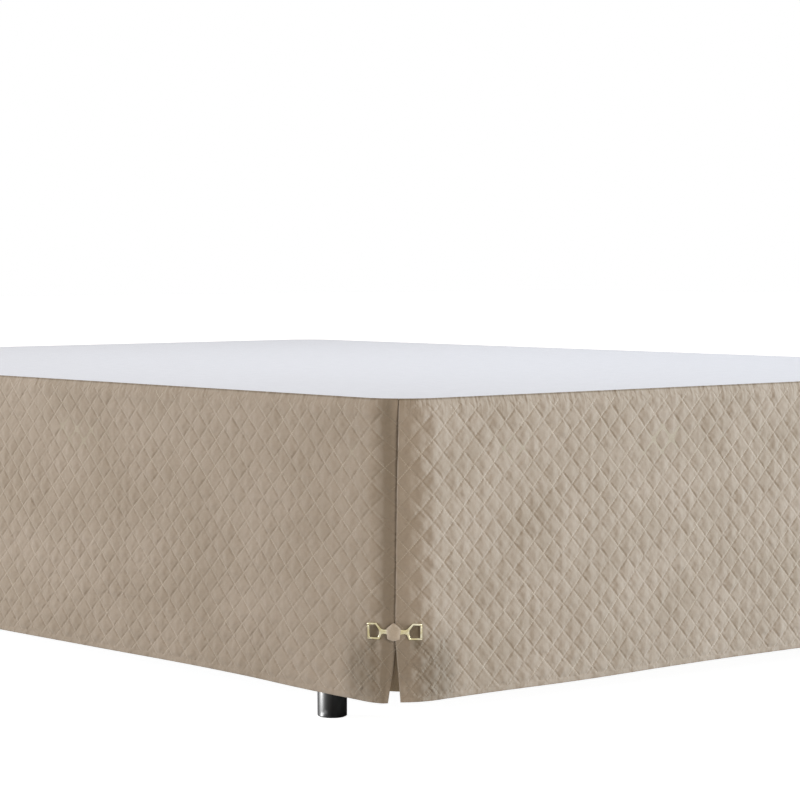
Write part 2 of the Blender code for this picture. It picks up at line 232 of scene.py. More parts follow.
def make_piece(
    name: str,
    bm: BMesh,
    materials: Sequence[Material],
    replaces: Sequence[str] = (),
    sharp_angle: float | None = None,
) -> Piece:
    """Turn a bmesh into a piece of the part.

    Args:
        name: The piece's name.
        bm: Its mesh, which is freed.
        materials: Its materials, in slot order.
        replaces: The solids that it stands for.
        sharp_angle: Where given, edges sharper than this many degrees stay crisp.

    Returns:
        The new object.
    """
    mesh = bpy.data.meshes.new(name)
    bm.to_mesh(mesh)
    bm.free()
    for material in materials:
        mesh.materials.append(material)
    if sharp_angle is not None:
        mesh.shade_smooth()
        mesh.set_sharp_from_angle(angle=math.radians(sharp_angle))
    piece = bpy.data.objects.new(name, mesh)
    bpy.context.scene.collection.objects.link(piece)
    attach(piece, "root")
    if replaces:
        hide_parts(*replaces)
    return piece


def write_map(mesh: bpy.types.Mesh, name: str, places: Array) -> None:
    """Give a mesh a UV map from one pair of numbers for each vertex.

    Args:
        mesh: The mesh.
        name: The map's name.
        places: The pairs, in the order of the vertices.
    """
    layer = mesh.uv_layers.new(name=name)
    corners = np.empty(len(mesh.loops), dtype=np.int32)
    mesh.loops.foreach_get("vertex_index", corners)
    layer.data.foreach_set("uv", places[corners].astype(np.float32).ravel())


def tube_bmesh(points: Sequence[Vector], radius: float, sides: int, closed: bool) -> BMesh:
    """A round cord along a path.

    Args:
        points: The path's points.
        radius: The cord's radius.
        sides: Faces round the cord, a multiple of 4.
        closed: True for a path that returns to its start.

    Returns:
        The cord's mesh.
    """
    curve = bpy.data.curves.new("path", "CURVE")
    curve.dimensions = "3D"
    curve.bevel_depth = radius
    curve.bevel_resolution = max(0, sides // 2 - 2)
    curve.use_fill_caps = not closed
    spline = curve.splines.new("POLY")
    spline.points.add(len(points) - 1)
    for target, point in zip(spline.points, points):
        target.co = (*point, 1.0)
    spline.use_cyclic_u = closed
    holder = bpy.data.objects.new("path", curve)
    mesh = bpy.data.meshes.new_from_object(holder)
    bm = bmesh.new()
    bm.from_mesh(mesh)
    bpy.data.objects.remove(holder)
    bpy.data.meshes.remove(mesh)
    bpy.data.curves.remove(curve)
    bmesh.ops.remove_doubles(bm, verts=bm.verts[:], dist=1e-6)
    close_outwards(bm)
    return bm


# ---- Nodes and colours ----

TIMES = {"operation": "MULTIPLY"}
TIMES_PLUS = {"operation": "MULTIPLY_ADD"}  # the first two multiplied, and the third added
SMOOTH = {"interpolation_type": "SMOOTHSTEP"}  # of a range node that eases in and out
IN_MM = {"Strength": 1.0, "Distance": MM}  # of a bump node whose height is in millimetres
COLOURS = {"data_type": "RGBA", "clamp_factor": True}  # of a mix node between two colours
GRAIN = 0.5  # scale of a noise node, times the size of its grains in metres
UNEVEN = 0.55  # roughness of every noise node


def hex_colour(text: str) -> Four:
    """The linear colour of an sRGB hex value.

    Args:
        text: The value, with its leading hash.

    Returns:
        Red, green, blue, and 1 for opaque.
    """
    channels = [int(text[place : place + 2], 16) / 255 for place in (1, 3, 5)]
    linear = [c / 12.92 if c <= 0.04045 else ((c + 0.055) / 1.055) ** 2.4 for c in channels]
    return (linear[0], linear[1], linear[2], 1.0)


class NodeGraph:
    """The nodes of one material or of the sky."""

    def __init__(self, tree: bpy.types.NodeTree) -> None:
        """Work on this tree."""
        self.tree = tree

    def add(
        self,
        kind: str,
        inputs: Sequence[SocketValue] | Mapping[str | int, SocketValue] = (),
        output: str | int = 0,
        **settings: object,
    ) -> Socket:
        """Add a node with its settings, values and links.

        Args:
            kind: The node's type, without the ShaderNode before it.
            inputs: What its first inputs, or the named and numbered ones, get: a value, or
                the output that feeds it.
            output: The output that is wanted.
            **settings: The node's own properties.

        Returns:
            That output, which also knows its node.
        """
        node = self.tree.nodes.new("ShaderNode" + kind)
        for name, value in settings.items():
            setattr(node, name, value)
        pairs = inputs.items() if isinstance(inputs, dict) else enumerate(inputs)
        for key, value in pairs:
            if isinstance(value, Socket):
                self.tree.links.new(value, node.inputs[key])
            else:
                node.inputs[key].default_value = value
        return node.outputs[output]


class Surface(NodeGraph):
    """A new material, its nodes, and its one shader."""

    def __init__(self, name: str) -> None:
        """Start a material.

        Args:
            name: Its name.
        """
        self.material = bpy.data.materials.new(name)
        self.material.use_nodes = True
        super().__init__(self.material.node_tree)
        self.shader = self.tree.nodes["Principled BSDF"]

    def place(self, map_name: str | None = None, scale: Sequence[float] = (1.0, 1.0, 1.0)) -> Socket:
        """Coordinates in metres.

        Args:
            map_name: The UV map to read, or None for the object's own coordinates.
            scale: Metres for one step of the map.

        Returns:
            The output that gives them.
        """
        if map_name is None:
            source = self.add("TexCoord", output="Object")
        else:
            source = self.add("UVMap", uv_map=map_name)
        return self.add("Mapping", {"Vector": source, "Scale": scale})

    def set(self, **values: SocketValue) -> None:
        """Set or link the shader's inputs.

        Args:
            **values: What each gets, with _ for each space in its name.
        """
        for name, value in values.items():
            socket = self.shader.inputs[name.replace("_", " ")]
            if isinstance(value, Socket):
                self.tree.links.new(value, socket)
            else:
                socket.default_value = value


# ---- Finishes ----

NAP = {
    "Sheen_Weight": 0.30,
    "Sheen_Roughness": 0.45,
    "Sheen_Tint": hex_colour("#F3EADB"),
    "Specular_IOR_Level": 0.25,
}  # how the raised fibres of brushed microfibre catch the light


@dataclass(frozen=True)
class QuiltedMicrofibre:
    """Brushed polyester microfibre, quilted over thin wadding on a lock-stitch machine.

    The short nap gives a dull, peach-like face that turns a little paler or darker as it
    lies.  Pale rows of stitches run in soft grooves, with fine gathers beside them.
    """

    face: str = "#B0A190"
    turned_nap: str = "#A69785"
    shaded: str = "#6F6350"
    thread: str = "#D9CDB9"
    thread_width: float = 0.0016  # a real one is a third of it, too fine to show
    thread_core: float = 0.0002  # from its middle, where it shows in full
    line_pitch: float = 2 * BED.half_diamond / math.sqrt(2)  # between parallel lines
    groove_width: float = 0.0026
    stitch_length: float = 0.0030
    gather_length: float = 0.0042  # between the small gathers that the thread draws up
    gather_reach: float = 0.0065
    slack_patch: float = 0.016  # over which the grooves turn deeper or shallower
    slack_share: Four = (0.30, 0.70, 0.48, 1.05)  # from noise to the share of their depth
    sunk_patch: float = 0.030  # over which the thread shows more or less
    sunk_share: Four = (0.36, 0.64, 0.12, 0.66)  # from noise to the share that shows
    dash: Four = (0.05, 0.30, 1.0, 0.35)  # from half stitches to the share that shows
    nap_patch: float = 0.050
    nap_weight: float = 0.80
    fibre_weight: float = 0.25
    nap_turn: Pair = (0.35, 0.70)  # where that mix starts and ends to turn the nap
    crinkle: float = 0.0075
    fibre: float = 0.0009  # real fibres are finer than shows, so tufts stand for them

    # Half diamonds: below the deck or above the hem, where the quilting sets in, and below the
    # deck, where the shade under the top seam fades, with its share at either end.
    quilted_from: Pair = (0.30, 0.62)
    quilted_to: Pair = (0.36, 0.48)
    seam_shade: Four = (0.05, 0.18, 0.60, 0.0)

    # Heights in millimetres.
    groove_depth: float = 0.60
    pillow_height: float = 1.1  # of a diamond's soft rise
    bunched_swell: float = 1.3  # share that is added to it where the cloth is bunched
    gather_height: float = 1.35
    crinkle_height: float = 3.2
    fibre_height: float = 0.12

    # Gathers along the top seam and the hem: their spacing, their height in millimetres,
    # and the rows over which they fade, with their share at either end.
    bands: tuple[tuple[float, float, Four], ...] = (
        (0.0050, 2.2, (0.2, 1.7, 1.0, 0.0)),
        (0.0030, 0.7, (BED.quilt_rows - 0.9, BED.quilt_rows - 0.3, 0.0, 1.0)),
    )
    band_stretch: float = 0.30  # how short a gather is down the panel, below 1 for a long one

    def seams(self, surface: Surface, across: Socket, along: Socket) -> tuple[Socket, ...]:
        """One family of stitched lines.

        Args:
            surface: The material.
            across: Position across the lines, one step for each line.
            along: Position along them, in the same steps.

        Returns:
            How deep a point lies in a line, from 0 to 1, how much of it the thread covers, in
            short dashes where it dips through, the height of the gathers beside it, and how far
            the cloth has risen from the line, from 0 to 1.
        """
        add, pitch = surface.add, self.line_pitch
        steps = add("Math", (across, 0.5), operation="PINGPONG")
        distance = add("Math", (steps, pitch), **TIMES)
        groove = add("MapRange", (distance, 0.0, self.groove_width, 1.0, 0.0), **SMOOTH)
        phase = add("Math", (along, pitch / self.stitch_length), **TIMES)
        phase = add("Math", (phase, 0.5), operation="PINGPONG")
        dash = add("MapRange", (phase, *self.dash), **SMOOTH)
        thread = add("MapRange", (distance, self.thread_core, self.thread_width / 2, 1.0, 0.0), **SMOOTH)
        thread = add("Math", (thread, dash), **TIMES)
        down = add("Math", (along, pitch / self.gather_length), **TIMES)
        out = add("Math", (across, pitch / 4 / self.gather_length), **TIMES)
        place = add("CombineXYZ", (down, out))
        gathers = add("TexNoise", {"Vector": place, "Scale": 1.0, "Detail": 1.0, "Roughness": UNEVEN})
        reach = (distance, self.groove_width / 3, self.gather_reach, 1.0, 0.0)
        near = add("MapRange", reach, **SMOOTH)
        gathers = add("Math", (gathers, near), **TIMES)
        rise = add("MapRange", (distance, 0.0, pitch / 2, 0.0, 1.0), **SMOOTH)
        return groove, thread, gathers, rise

    def band_gathers(self, surface: Surface, columns: Socket, rows: Socket) -> SocketValue:
        """Height of the upright gathers at the top seam and of the finer ones at the hem.

        Args:
            surface: The material.
            columns: Half diamonds along the panel.
            rows: Half diamonds below the deck.

        Returns:
            The height, in millimetres.
        """
        add = surface.add
        total: SocketValue = 0.0
        for spacing, height, fade in self.bands:
            across = add("Math", (columns, BED.half_diamond / spacing), **TIMES)
            down = add("Math", (rows, self.band_stretch), **TIMES)
            inputs = {"Vector": add("CombineXYZ", (across, down)), "Scale": 1.0}
            gathers = add("TexNoise", {**inputs, "Detail": 1.0, "Roughness": UNEVEN})
            shown = add("MapRange", (rows, *fade), **SMOOTH)
            gathers = add("Math", (gathers, shown), **TIMES)
            total = add("Math", (gathers, height, total), **TIMES_PLUS)
        return total

    def material(self) -> Material:
        """Mix the material, on a map that counts half diamonds.

        Returns:
            The material.
        """
        surface = Surface("quilted_brushed_polyester_microfibre")
        add = surface.add
        cloth = surface.place("quilt", (BED.half_diamond, BED.half_diamond, 1.0))
        columns = add("SeparateXYZ", (add("UVMap", uv_map="quilt"),))
        rows = columns.node.outputs[1]
        falling = add("Math", (add("Math", (columns, rows)), 0.5), **TIMES)
        spare = add("Math", (columns, rows), operation="SUBTRACT")
        rising = add("Math", (spare, 0.5), **TIMES)
        first = self.seams(surface, falling, rising)
        second = self.seams(surface, rising, falling)
        ways = ("MAXIMUM", "MAXIMUM", "ADD", "MULTIPLY")
        both = [add("Math", pair, operation=way) for way, *pair in zip(ways, first, second)]
        depth, thread, gathers, pillow = both

        # Quilting stops short of the top seam and of the hem.
        below_top = add("MapRange", (rows, *self.quilted_from, 0.0, 1.0), **SMOOTH)
        ends = [BED.quilt_rows - place for place in self.quilted_to]
        above_hem = add("MapRange", (rows, *ends, 0.0, 1.0), **SMOOTH)
        quilted = add("Math", (below_top, above_hem), **TIMES)
        noise = {"Vector": cloth, "Roughness": UNEVEN}
        slack = add("TexNoise", {**noise, "Scale": GRAIN / self.slack_patch, "Detail": 1.0})
        slack = add("MapRange", (slack, *self.slack_share), **SMOOTH)
        depth = add("Math", (depth, slack), **TIMES)
        depth = add("Math", (depth, quilted), **TIMES)
        pillow = add("Math", (pillow, quilted), **TIMES)
        bunched = add("Attribute", output="Fac", attribute_name="bunched")
        swell = add("Math", (bunched, self.bunched_swell, 1.0), **TIMES_PLUS)
        pillow = add("Math", (pillow, swell), **TIMES)
        gathers = add("Math", (gathers, swell), **TIMES)
        shown = add("TexNoise", {**noise, "Scale": GRAIN / self.sunk_patch, "Detail": 2.0})
        shown = add("MapRange", (shown, *self.sunk_share), **SMOOTH)
        shown = add("Math", (shown, quilted), **TIMES)
        thread = add("Math", (thread, shown), **TIMES)

        patches = add("TexNoise", {**noise, "Scale": GRAIN / self.nap_patch, "Detail": 3.0})
        crinkles = add("TexNoise", {**noise, "Scale": GRAIN / self.crinkle, "Detail": 1.5})
        fibres = add("TexNoise", {**noise, "Scale": GRAIN / self.fibre, "Detail": 2.0})
        nap = add("Math", (patches, self.nap_weight), **TIMES)
        nap = add("Math", (fibres, self.fibre_weight, nap), **TIMES_PLUS)
        nap = add("MapRange", (nap, *self.nap_turn, 0.0, 1.0), **SMOOTH)
        tone = {0: nap, 6: hex_colour(self.face), 7: hex_colour(self.turned_nap)}
        tone = {0: thread, 6: add("Mix", tone, 2, **COLOURS), 7: hex_colour(self.thread)}
        # Shade painted into the colour: a darker band under the top seam, and the attribute that darkens
        # the cloth where the buckles and the tucked edges shade it.
        dark = add("MapRange", (rows, *self.seam_shade), **SMOOTH)
        painted_shade = add("Attribute", output="Fac", attribute_name="painted_shade")
        dark = add("Math", (dark, painted_shade), operation="MAXIMUM")
        tone = {0: dark, 6: add("Mix", tone, 2, **COLOURS), 7: hex_colour(self.shaded)}
        height = add("Math", (depth, -self.groove_depth), **TIMES)
        for part, rise in (
            (pillow, self.pillow_height),
            (gathers, self.gather_height),
            (crinkles, self.crinkle_height),
            (self.band_gathers(surface, columns, rows), 1.0),
            (fibres, self.fibre_height),
        ):
            height = add("Math", (part, rise, height), **TIMES_PLUS)
        surface.set(
            Base_Color=add("Mix", tone, 2, **COLOURS),
            Roughness=0.92,
            Normal=add("Bump", {**IN_MM, "Height": height}),
            **NAP,
        )
        return surface.material


@dataclass(frozen=True)
class PlainMicrofibre:
    """Brushed polyester microfibre without quilting: a dull, even nap."""

    name: str
    face: str
    turned_nap: str
    nap_patch: float = 0.012
    fibre: float = 0.0008
    patch_height: float = 0.25  # in millimetres
    fibre_height: float = 0.12  # in millimetres

    def material(self) -> Material:
        """Mix the material, on object coordinates.

        Returns:
            The material.
        """
        surface = Surface(self.name)
        add = surface.add
        noise = {"Vector": surface.place(), "Roughness": UNEVEN}
        patches = add("TexNoise", {**noise, "Scale": GRAIN / self.nap_patch, "Detail": 3.0})
        fibres = add("TexNoise", {**noise, "Scale": GRAIN / self.fibre, "Detail": 2.0})
        nap = add("Math", (patches, 0.6), **TIMES)
        nap = add("Math", (fibres, 0.5, nap), **TIMES_PLUS)
        nap = add("MapRange", (nap, 0.35, 0.75, 0.0, 1.0), **SMOOTH)
        tone = {0: nap, 6: hex_colour(self.face), 7: hex_colour(self.turned_nap)}
        height = add("Math", (fibres, self.fibre_height), **TIMES)
        height = add("Math", (patches, self.patch_height, height), **TIMES_PLUS)
        surface.set(
            Base_Color=add("Mix", tone, 2, **COLOURS),
            Roughness=0.93,
            Normal=add("Bump", {**IN_MM, "Height": height}),
            **NAP,
        )
        return surface.material


@dataclass(frozen=True)
class WovenCloth:
    """Plain-woven cloth: threads over and under one another, a fine even check of relief."""

    name: str
    light_thread: str
    dark_thread: str
    thread: float  # spacing of the threads
    relief: float  # height of a thread, in millimetres
    slub: float = 0.015  # length of a thicker or paler run of thread
    slub_stretch: float = 12.0  # how much longer it is than wide
    roughness: float = 0.9

    def material(self) -> Material:
        """Mix the material, on a map in metres named cloth.

        Returns:
            The material.
        """
        surface = Surface(self.name)
        add = surface.add
        across = add("SeparateXYZ", (surface.place("cloth"),))
        turns = math.tau / (2 * self.thread)
        waves = []
        for place in (across, across.node.outputs[1]):
            angle = add("Math", (place, turns), **TIMES)
            waves.append(add("Math", (angle,), operation="SINE"))
        weave = add("Math", waves, **TIMES)
        slubs = []
        for stretch in ((1.0, self.slub_stretch, 1.0), (self.slub_stretch, 1.0, 1.0)):
            noise = {"Vector": surface.place("cloth", stretch), "Roughness": UNEVEN}
            slubs.append(add("TexNoise", {**noise, "Scale": GRAIN / self.slub, "Detail": 2.0}))
        mixed = add("Math", (add("Math", slubs), 0.5), **TIMES)
        mixed = add("Math", (weave, 0.12, mixed), **TIMES_PLUS)
        mixed = add("MapRange", (mixed, 0.30, 0.70, 0.0, 1.0), **SMOOTH)
        tone = {0: mixed, 6: hex_colour(self.dark_thread), 7: hex_colour(self.light_thread)}
        height = add("Math", (weave, self.relief), **TIMES)
        surface.set(
            Base_Color=add("Mix", tone, 2, **COLOURS),
            Roughness=self.roughness,
            Sheen_Weight=0.12,
            Sheen_Roughness=0.5,
            Specular_IOR_Level=0.3,
            Normal=add("Bump", {**IN_MM, "Height": height}),
        )
        return surface.material


@dataclass(frozen=True)
class FeltedCloth:
    """Non-woven polypropylene, bonded in small dimples: thin, dark and slightly shiny."""

    name: str = "dimple_bonded_polypropylene_felt"
    face: str = "#2B2B2D"
    dimple: str = "#1D1D1F"
    pitch: float = 0.0030
    depth: float = 0.12  # of a dimple, in millimetres

    def material(self) -> Material:
        """Mix the material, on object coordinates.

        Returns:
            The material.
        """
        surface = Surface(self.name)
        add = surface.add
        inputs = {"Vector": surface.place(), "Scale": 1.0 / self.pitch, "Randomness": 0.15}
        dots = add("TexVoronoi", inputs, "Distance")
        flat = add("MapRange", (dots, 0.18, 0.38, 0.0, 1.0), **SMOOTH)
        tone = {0: flat, 6: hex_colour(self.dimple), 7: hex_colour(self.face)}
        height = add("Math", (flat, self.depth), **TIMES)
        surface.set(
            Base_Color=add("Mix", tone, 2, **COLOURS),
            Roughness=add("MapRange", (flat, 0.0, 1.0, 0.45, 0.75), **SMOOTH),
            Specular_IOR_Level=0.4,
            Normal=add("Bump", {**IN_MM, "Height": height}),
        )
        return surface.material


@dataclass(frozen=True)
class PlatedCasting:
    """Die-cast zinc alloy, polished and plated in pale gold: bright, warm, faintly uneven."""

    name: str = "pale_gold_plated_zinc_casting"
    bright: str = "#E6DFC2"
    worn: str = "#CDC194"
    flow: float = 0.004  # size of the faint waves that polishing leaves
    grain: float = 0.0006
    flow_height: float = 0.10  # in millimetres
    grain_height: float = 0.008  # in millimetres

    def material(self) -> Material:
        """Mix the material, on object coordinates.

        Returns:
            The material.
        """
        surface = Surface(self.name)
        add = surface.add
        noise = {"Vector": surface.place(), "Detail": 2.0, "Roughness": UNEVEN}
        waves = add("TexNoise", {**noise, "Scale": GRAIN / self.flow})
        grain = add("TexNoise", {**noise, "Scale": GRAIN / self.grain})
        tone = add("MapRange", (waves, 0.35, 0.70, 0.0, 1.0), **SMOOTH)
        tone = {0: tone, 6: hex_colour(self.bright), 7: hex_colour(self.worn)}
        height = add("Math", (waves, self.flow_height), **TIMES)
        height = add("Math", (grain, self.grain_height, height), **TIMES_PLUS)
        surface.set(
            Base_Color=add("Mix", tone, 2, **COLOURS),
            Metallic=1.0,
            Roughness=add("MapRange", (grain, 0.3, 0.7, 0.17, 0.27), **SMOOTH),
            Normal=add("Bump", {**IN_MM, "Height": height}),
        )
        return surface.material


@dataclass(frozen=True)
class PaintedMetal:
    """Steel under black enamel, sprayed and stoved: a hard gloss that draws out each lamp.

    A faint orange peel breaks its reflections, and scuffs cloud them.
    """

    name: str = "black_stoved_enamel_on_steel"
    paint: str = "#060707"
    scuffed: str = "#131615"
    peel: float = 0.0030
    peel_height: float = 0.03  # in millimetres
    scuff: float = 0.010
    roughness: float = 0.28
    scuffed_roughness: float = 0.40

    def material(self) -> Material:
        """Mix the material, on object coordinates.

        Returns:
            The material.
        """
        surface = Surface(self.name)
        add = surface.add
        noise = {"Vector": surface.place(), "Roughness": UNEVEN}
        peel = add("TexNoise", {**noise, "Scale": GRAIN / self.peel, "Detail": 1.0})
        scuffs = add("TexNoise", {**noise, "Scale": GRAIN / self.scuff, "Detail": 4.0})
        scuffs = add("MapRange", (scuffs, 0.50, 0.70, 0.0, 1.0), **SMOOTH)
        tone = {0: scuffs, 6: hex_colour(self.paint), 7: hex_colour(self.scuffed)}
        gloss = (scuffs, 0.0, 1.0, self.roughness, self.scuffed_roughness)
        height = add("Math", (peel, self.peel_height), **TIMES)
        surface.set(
            Base_Color=add("Mix", tone, 2, **COLOURS),
            Roughness=add("MapRange", gloss, **SMOOTH),
            IOR=1.55,
            Normal=add("Bump", {**IN_MM, "Height": height}),
        )
        return surface.material


@dataclass(frozen=True)
class MouldedPlastic:
    """Moulded polyethylene: a soft, low gloss with a fine even grain."""

    name: str = "black_moulded_polyethylene"
    face: str = "#17181A"
    rubbed: str = "#24262A"
    grain: float = 0.0007
    grain_height: float = 0.03  # in millimetres
    rub: float = 0.006

    def material(self) -> Material:
        """Mix the material, on object coordinates.

        Returns:
            The material.
        """
        surface = Surface(self.name)
        add = surface.add
        noise = {"Vector": surface.place(), "Roughness": UNEVEN}
        grain = add("TexNoise", {**noise, "Scale": GRAIN / self.grain, "Detail": 2.0})
        rubs = add("TexNoise", {**noise, "Scale": GRAIN / self.rub, "Detail": 3.0})
        rubs = add("MapRange", (rubs, 0.5, 0.7, 0.0, 1.0), **SMOOTH)
        tone = {0: rubs, 6: hex_colour(self.face), 7: hex_colour(self.rubbed)}
        height = add("Math", (grain, self.grain_height), **TIMES)
        surface.set(
            Base_Color=add("Mix", tone, 2, **COLOURS),
            Roughness=add("MapRange", (rubs, 0.0, 1.0, 0.5, 0.62), **SMOOTH),
            IOR=1.5,
            Normal=add("Bump", {**IN_MM, "Height": height}),
        )
        return surface.material


@dataclass(frozen=True)
class SewingThread:
    """Twisted polyester thread: a soft shine broken by its twist."""

    name: str = "twisted_polyester_thread"
    light: str = "#C9B998"
    dark: str = "#94835F"
    twist: float = 0.0009
    ply_height: float = 0.08  # in millimetres

    def material(self) -> Material:
        """Mix the material, on object coordinates.

        Returns:
            The material.
        """
        surface = Surface(self.name)
        add = surface.add
        inputs = {"Vector": surface.place(), "Scale": math.tau / 20 / self.twist}
        plies = add("TexWave", inputs, "Fac", wave_type="BANDS", bands_direction="DIAGONAL")
        tone = {0: plies, 6: hex_colour(self.dark), 7: hex_colour(self.light)}
        height = add("Math", (plies, self.ply_height), **TIMES)
        surface.set(
            Base_Color=add("Mix", tone, 2, **COLOURS),
            Roughness=0.6,
            Sheen_Weight=0.2,
            Normal=add("Bump", {**IN_MM, "Height": height}),
        )
        return surface.material


@dataclass(frozen=True)
class Finishes:
    """Every finish of the part, made once."""

    quilted: Material
    boss_cloth: Material
    underlay: Material
    backing: Material
    deck: Material
    cover: Material
    cover_cord: Material
    dust_cloth: Material
    gold: Material
    enamel: Material
    pad: Material
    thread: Material

    @classmethod
    def make(cls) -> "Finishes":
        """Mix every finish.

        Returns:
            All of them.
        """
        return cls(
            quilted=QuiltedMicrofibre().material(),
            boss_cloth=PlainMicrofibre("brushed_microfibre_over_pad", "#CDBEAB", "#BCAD99").material(),
            underlay=PlainMicrofibre("brushed_microfibre_underlay", "#BEAB91", "#AC997F").material(),
            backing=PlainMicrofibre("brushed_polyester_backing", "#B7AB98", "#A89C88").material(),
            deck=WovenCloth("plain_woven_polycotton", "#E2E3E7", "#D7D8DC", 0.0012, 0.05).material(),
            cover=WovenCloth("woven_polyester_ticking", "#DCD8CF", "#B9B4A9", 0.0016, 0.10).material(),
            cover_cord=PlainMicrofibre("brushed_polyester_piping", "#C9C3B6", "#B4AEA1").material(),
            dust_cloth=FeltedCloth().material(),
            gold=PlatedCasting().material(),
            enamel=PaintedMetal().material(),
            pad=MouldedPlastic().material(),
            thread=SewingThread().material(),
        )


# ---- Quilted panels ----


@dataclass(frozen=True)
class Stretch:
    """One stretch of a panel's run: a turn about a corner, or a straight side."""

    anchor: Vector  # the corner's axis, or where the straight starts on the base's side
    angle: float  # outward direction at its start
    length: float
    turning: bool

    def place(self, along: Array) -> tuple[Array, Array]:
        """Where points lie on this stretch.

        Args:
            along: Their distances from its start.

        Returns:
            The points, and the outward directions there, each as pairs of X and Y.
        """
        turned = along / BED.turn_radius if self.turning else np.zeros_like(along)
        angle = self.angle + turned
        outward = np.stack([np.cos(angle), np.sin(angle)], axis=-1)
        anchor = np.array(self.anchor[:2])
        if self.turning:
            return anchor + BED.turn_radius * outward, outward
        forward = np.stack([-np.sin(angle), np.cos(angle)], axis=-1)
        return anchor + BED.hang_gap * outward + along[..., None] * forward, outward


@dataclass(frozen=True)
class Run:
    """The line that the back of a panel follows round the base, counter-clockwise."""

    stretches: tuple[Stretch, ...]

    @property
    def length(self) -> float:
        """Length of the whole run."""
        return sum(stretch.length for stretch in self.stretches)

    def starts(self) -> list[float]:
        """Run positions where the stretches start."""
        ends = np.cumsum([stretch.length for stretch in self.stretches])
        return [0.0, *map(float, ends[:-1])]

    def place(self, position: Array) -> tuple[Array, Array]:
        """Where run positions lie.

        Args:
            position: Distances from the run's start.

        Returns:
            The points, and the outward directions there, each as pairs of X and Y.
        """
        points = np.zeros(position.shape + (2,))
        outward = np.zeros(position.shape + (2,))
        for start, stretch in zip(self.starts(), self.stretches):
            here = position >= start
            points[here], outward[here] = stretch.place(position[here] - start)
        return points, outward

    def turning(self, position: Array) -> Array:
        """Where the run turns a corner.

        Args:
            position: Distances from the run's start.

        Returns:
            1 in a corner, falling to 0 half a diamond beyond it.
        """
        share = np.zeros_like(position)
        for start, stretch in zip(self.starts(), self.stretches):
            if stretch.turning:
                past = np.maximum(start - position, position - start - stretch.length)
                share = np.maximum(share, np.clip(1.0 - past / BED.half_diamond, 0.0, 1.0))
        return share


class EdgeKind(Enum):
    """How an upright edge of a panel meets its neighbour at a corner."""

    OVER = "over"
    UNDER = "under"
    PLAIN = "plain"


@dataclass(frozen=True)
class PanelEdge:
    """One upright edge of a panel."""

    position: float
    sign: int  # 1 where the run leaves the panel, -1 where it enters
    kind: EdgeKind

    @property
    def x_side(self) -> int:
        """-1 for a slit at the left corner, 1 for one at the right."""
        return self.sign if self.kind is EdgeKind.OVER else -self.sign


# Drop below the deck, then how far the upper and the lower edge pass the corner line there.
SLIT_DROPS = (0.000, 0.033, 0.060, 0.110, 0.240, 0.285, 0.343, 0.360)
SLIT_PASSES = {
    EdgeKind.OVER: (0.0000, 0.0008, 0.0015, 0.0026, 0.0040, 0.0045, -0.0004, -0.0015),
    EdgeKind.UNDER: (-0.0010, -0.0010, 0.0020, 0.0020, 0.0010, -0.0025, -0.0128, -0.0148),
    EdgeKind.PLAIN: (0.0,) * 8,
}

# Soft waves in a hanging panel: distance from its corner line, half width, depth outwards.
SIDE_FOLDS = (
    (0.15, 0.14, 0.0045),
    (0.40, 0.24, -0.0045),
    (0.86, 0.30, 0.0040),
    (1.25, 0.22, -0.0030),
    (1.58, 0.20, 0.0035),
)
SIDE_STRETCH = 1.066
SIDE_LEAN = 0.08
FOOT_FOLDS = (
    (0.28, 0.16, 0.0045),
    (0.55, 0.20, -0.0035),
    (0.88, 0.22, 0.0040),
    (1.20, 0.14, -0.0025),
)


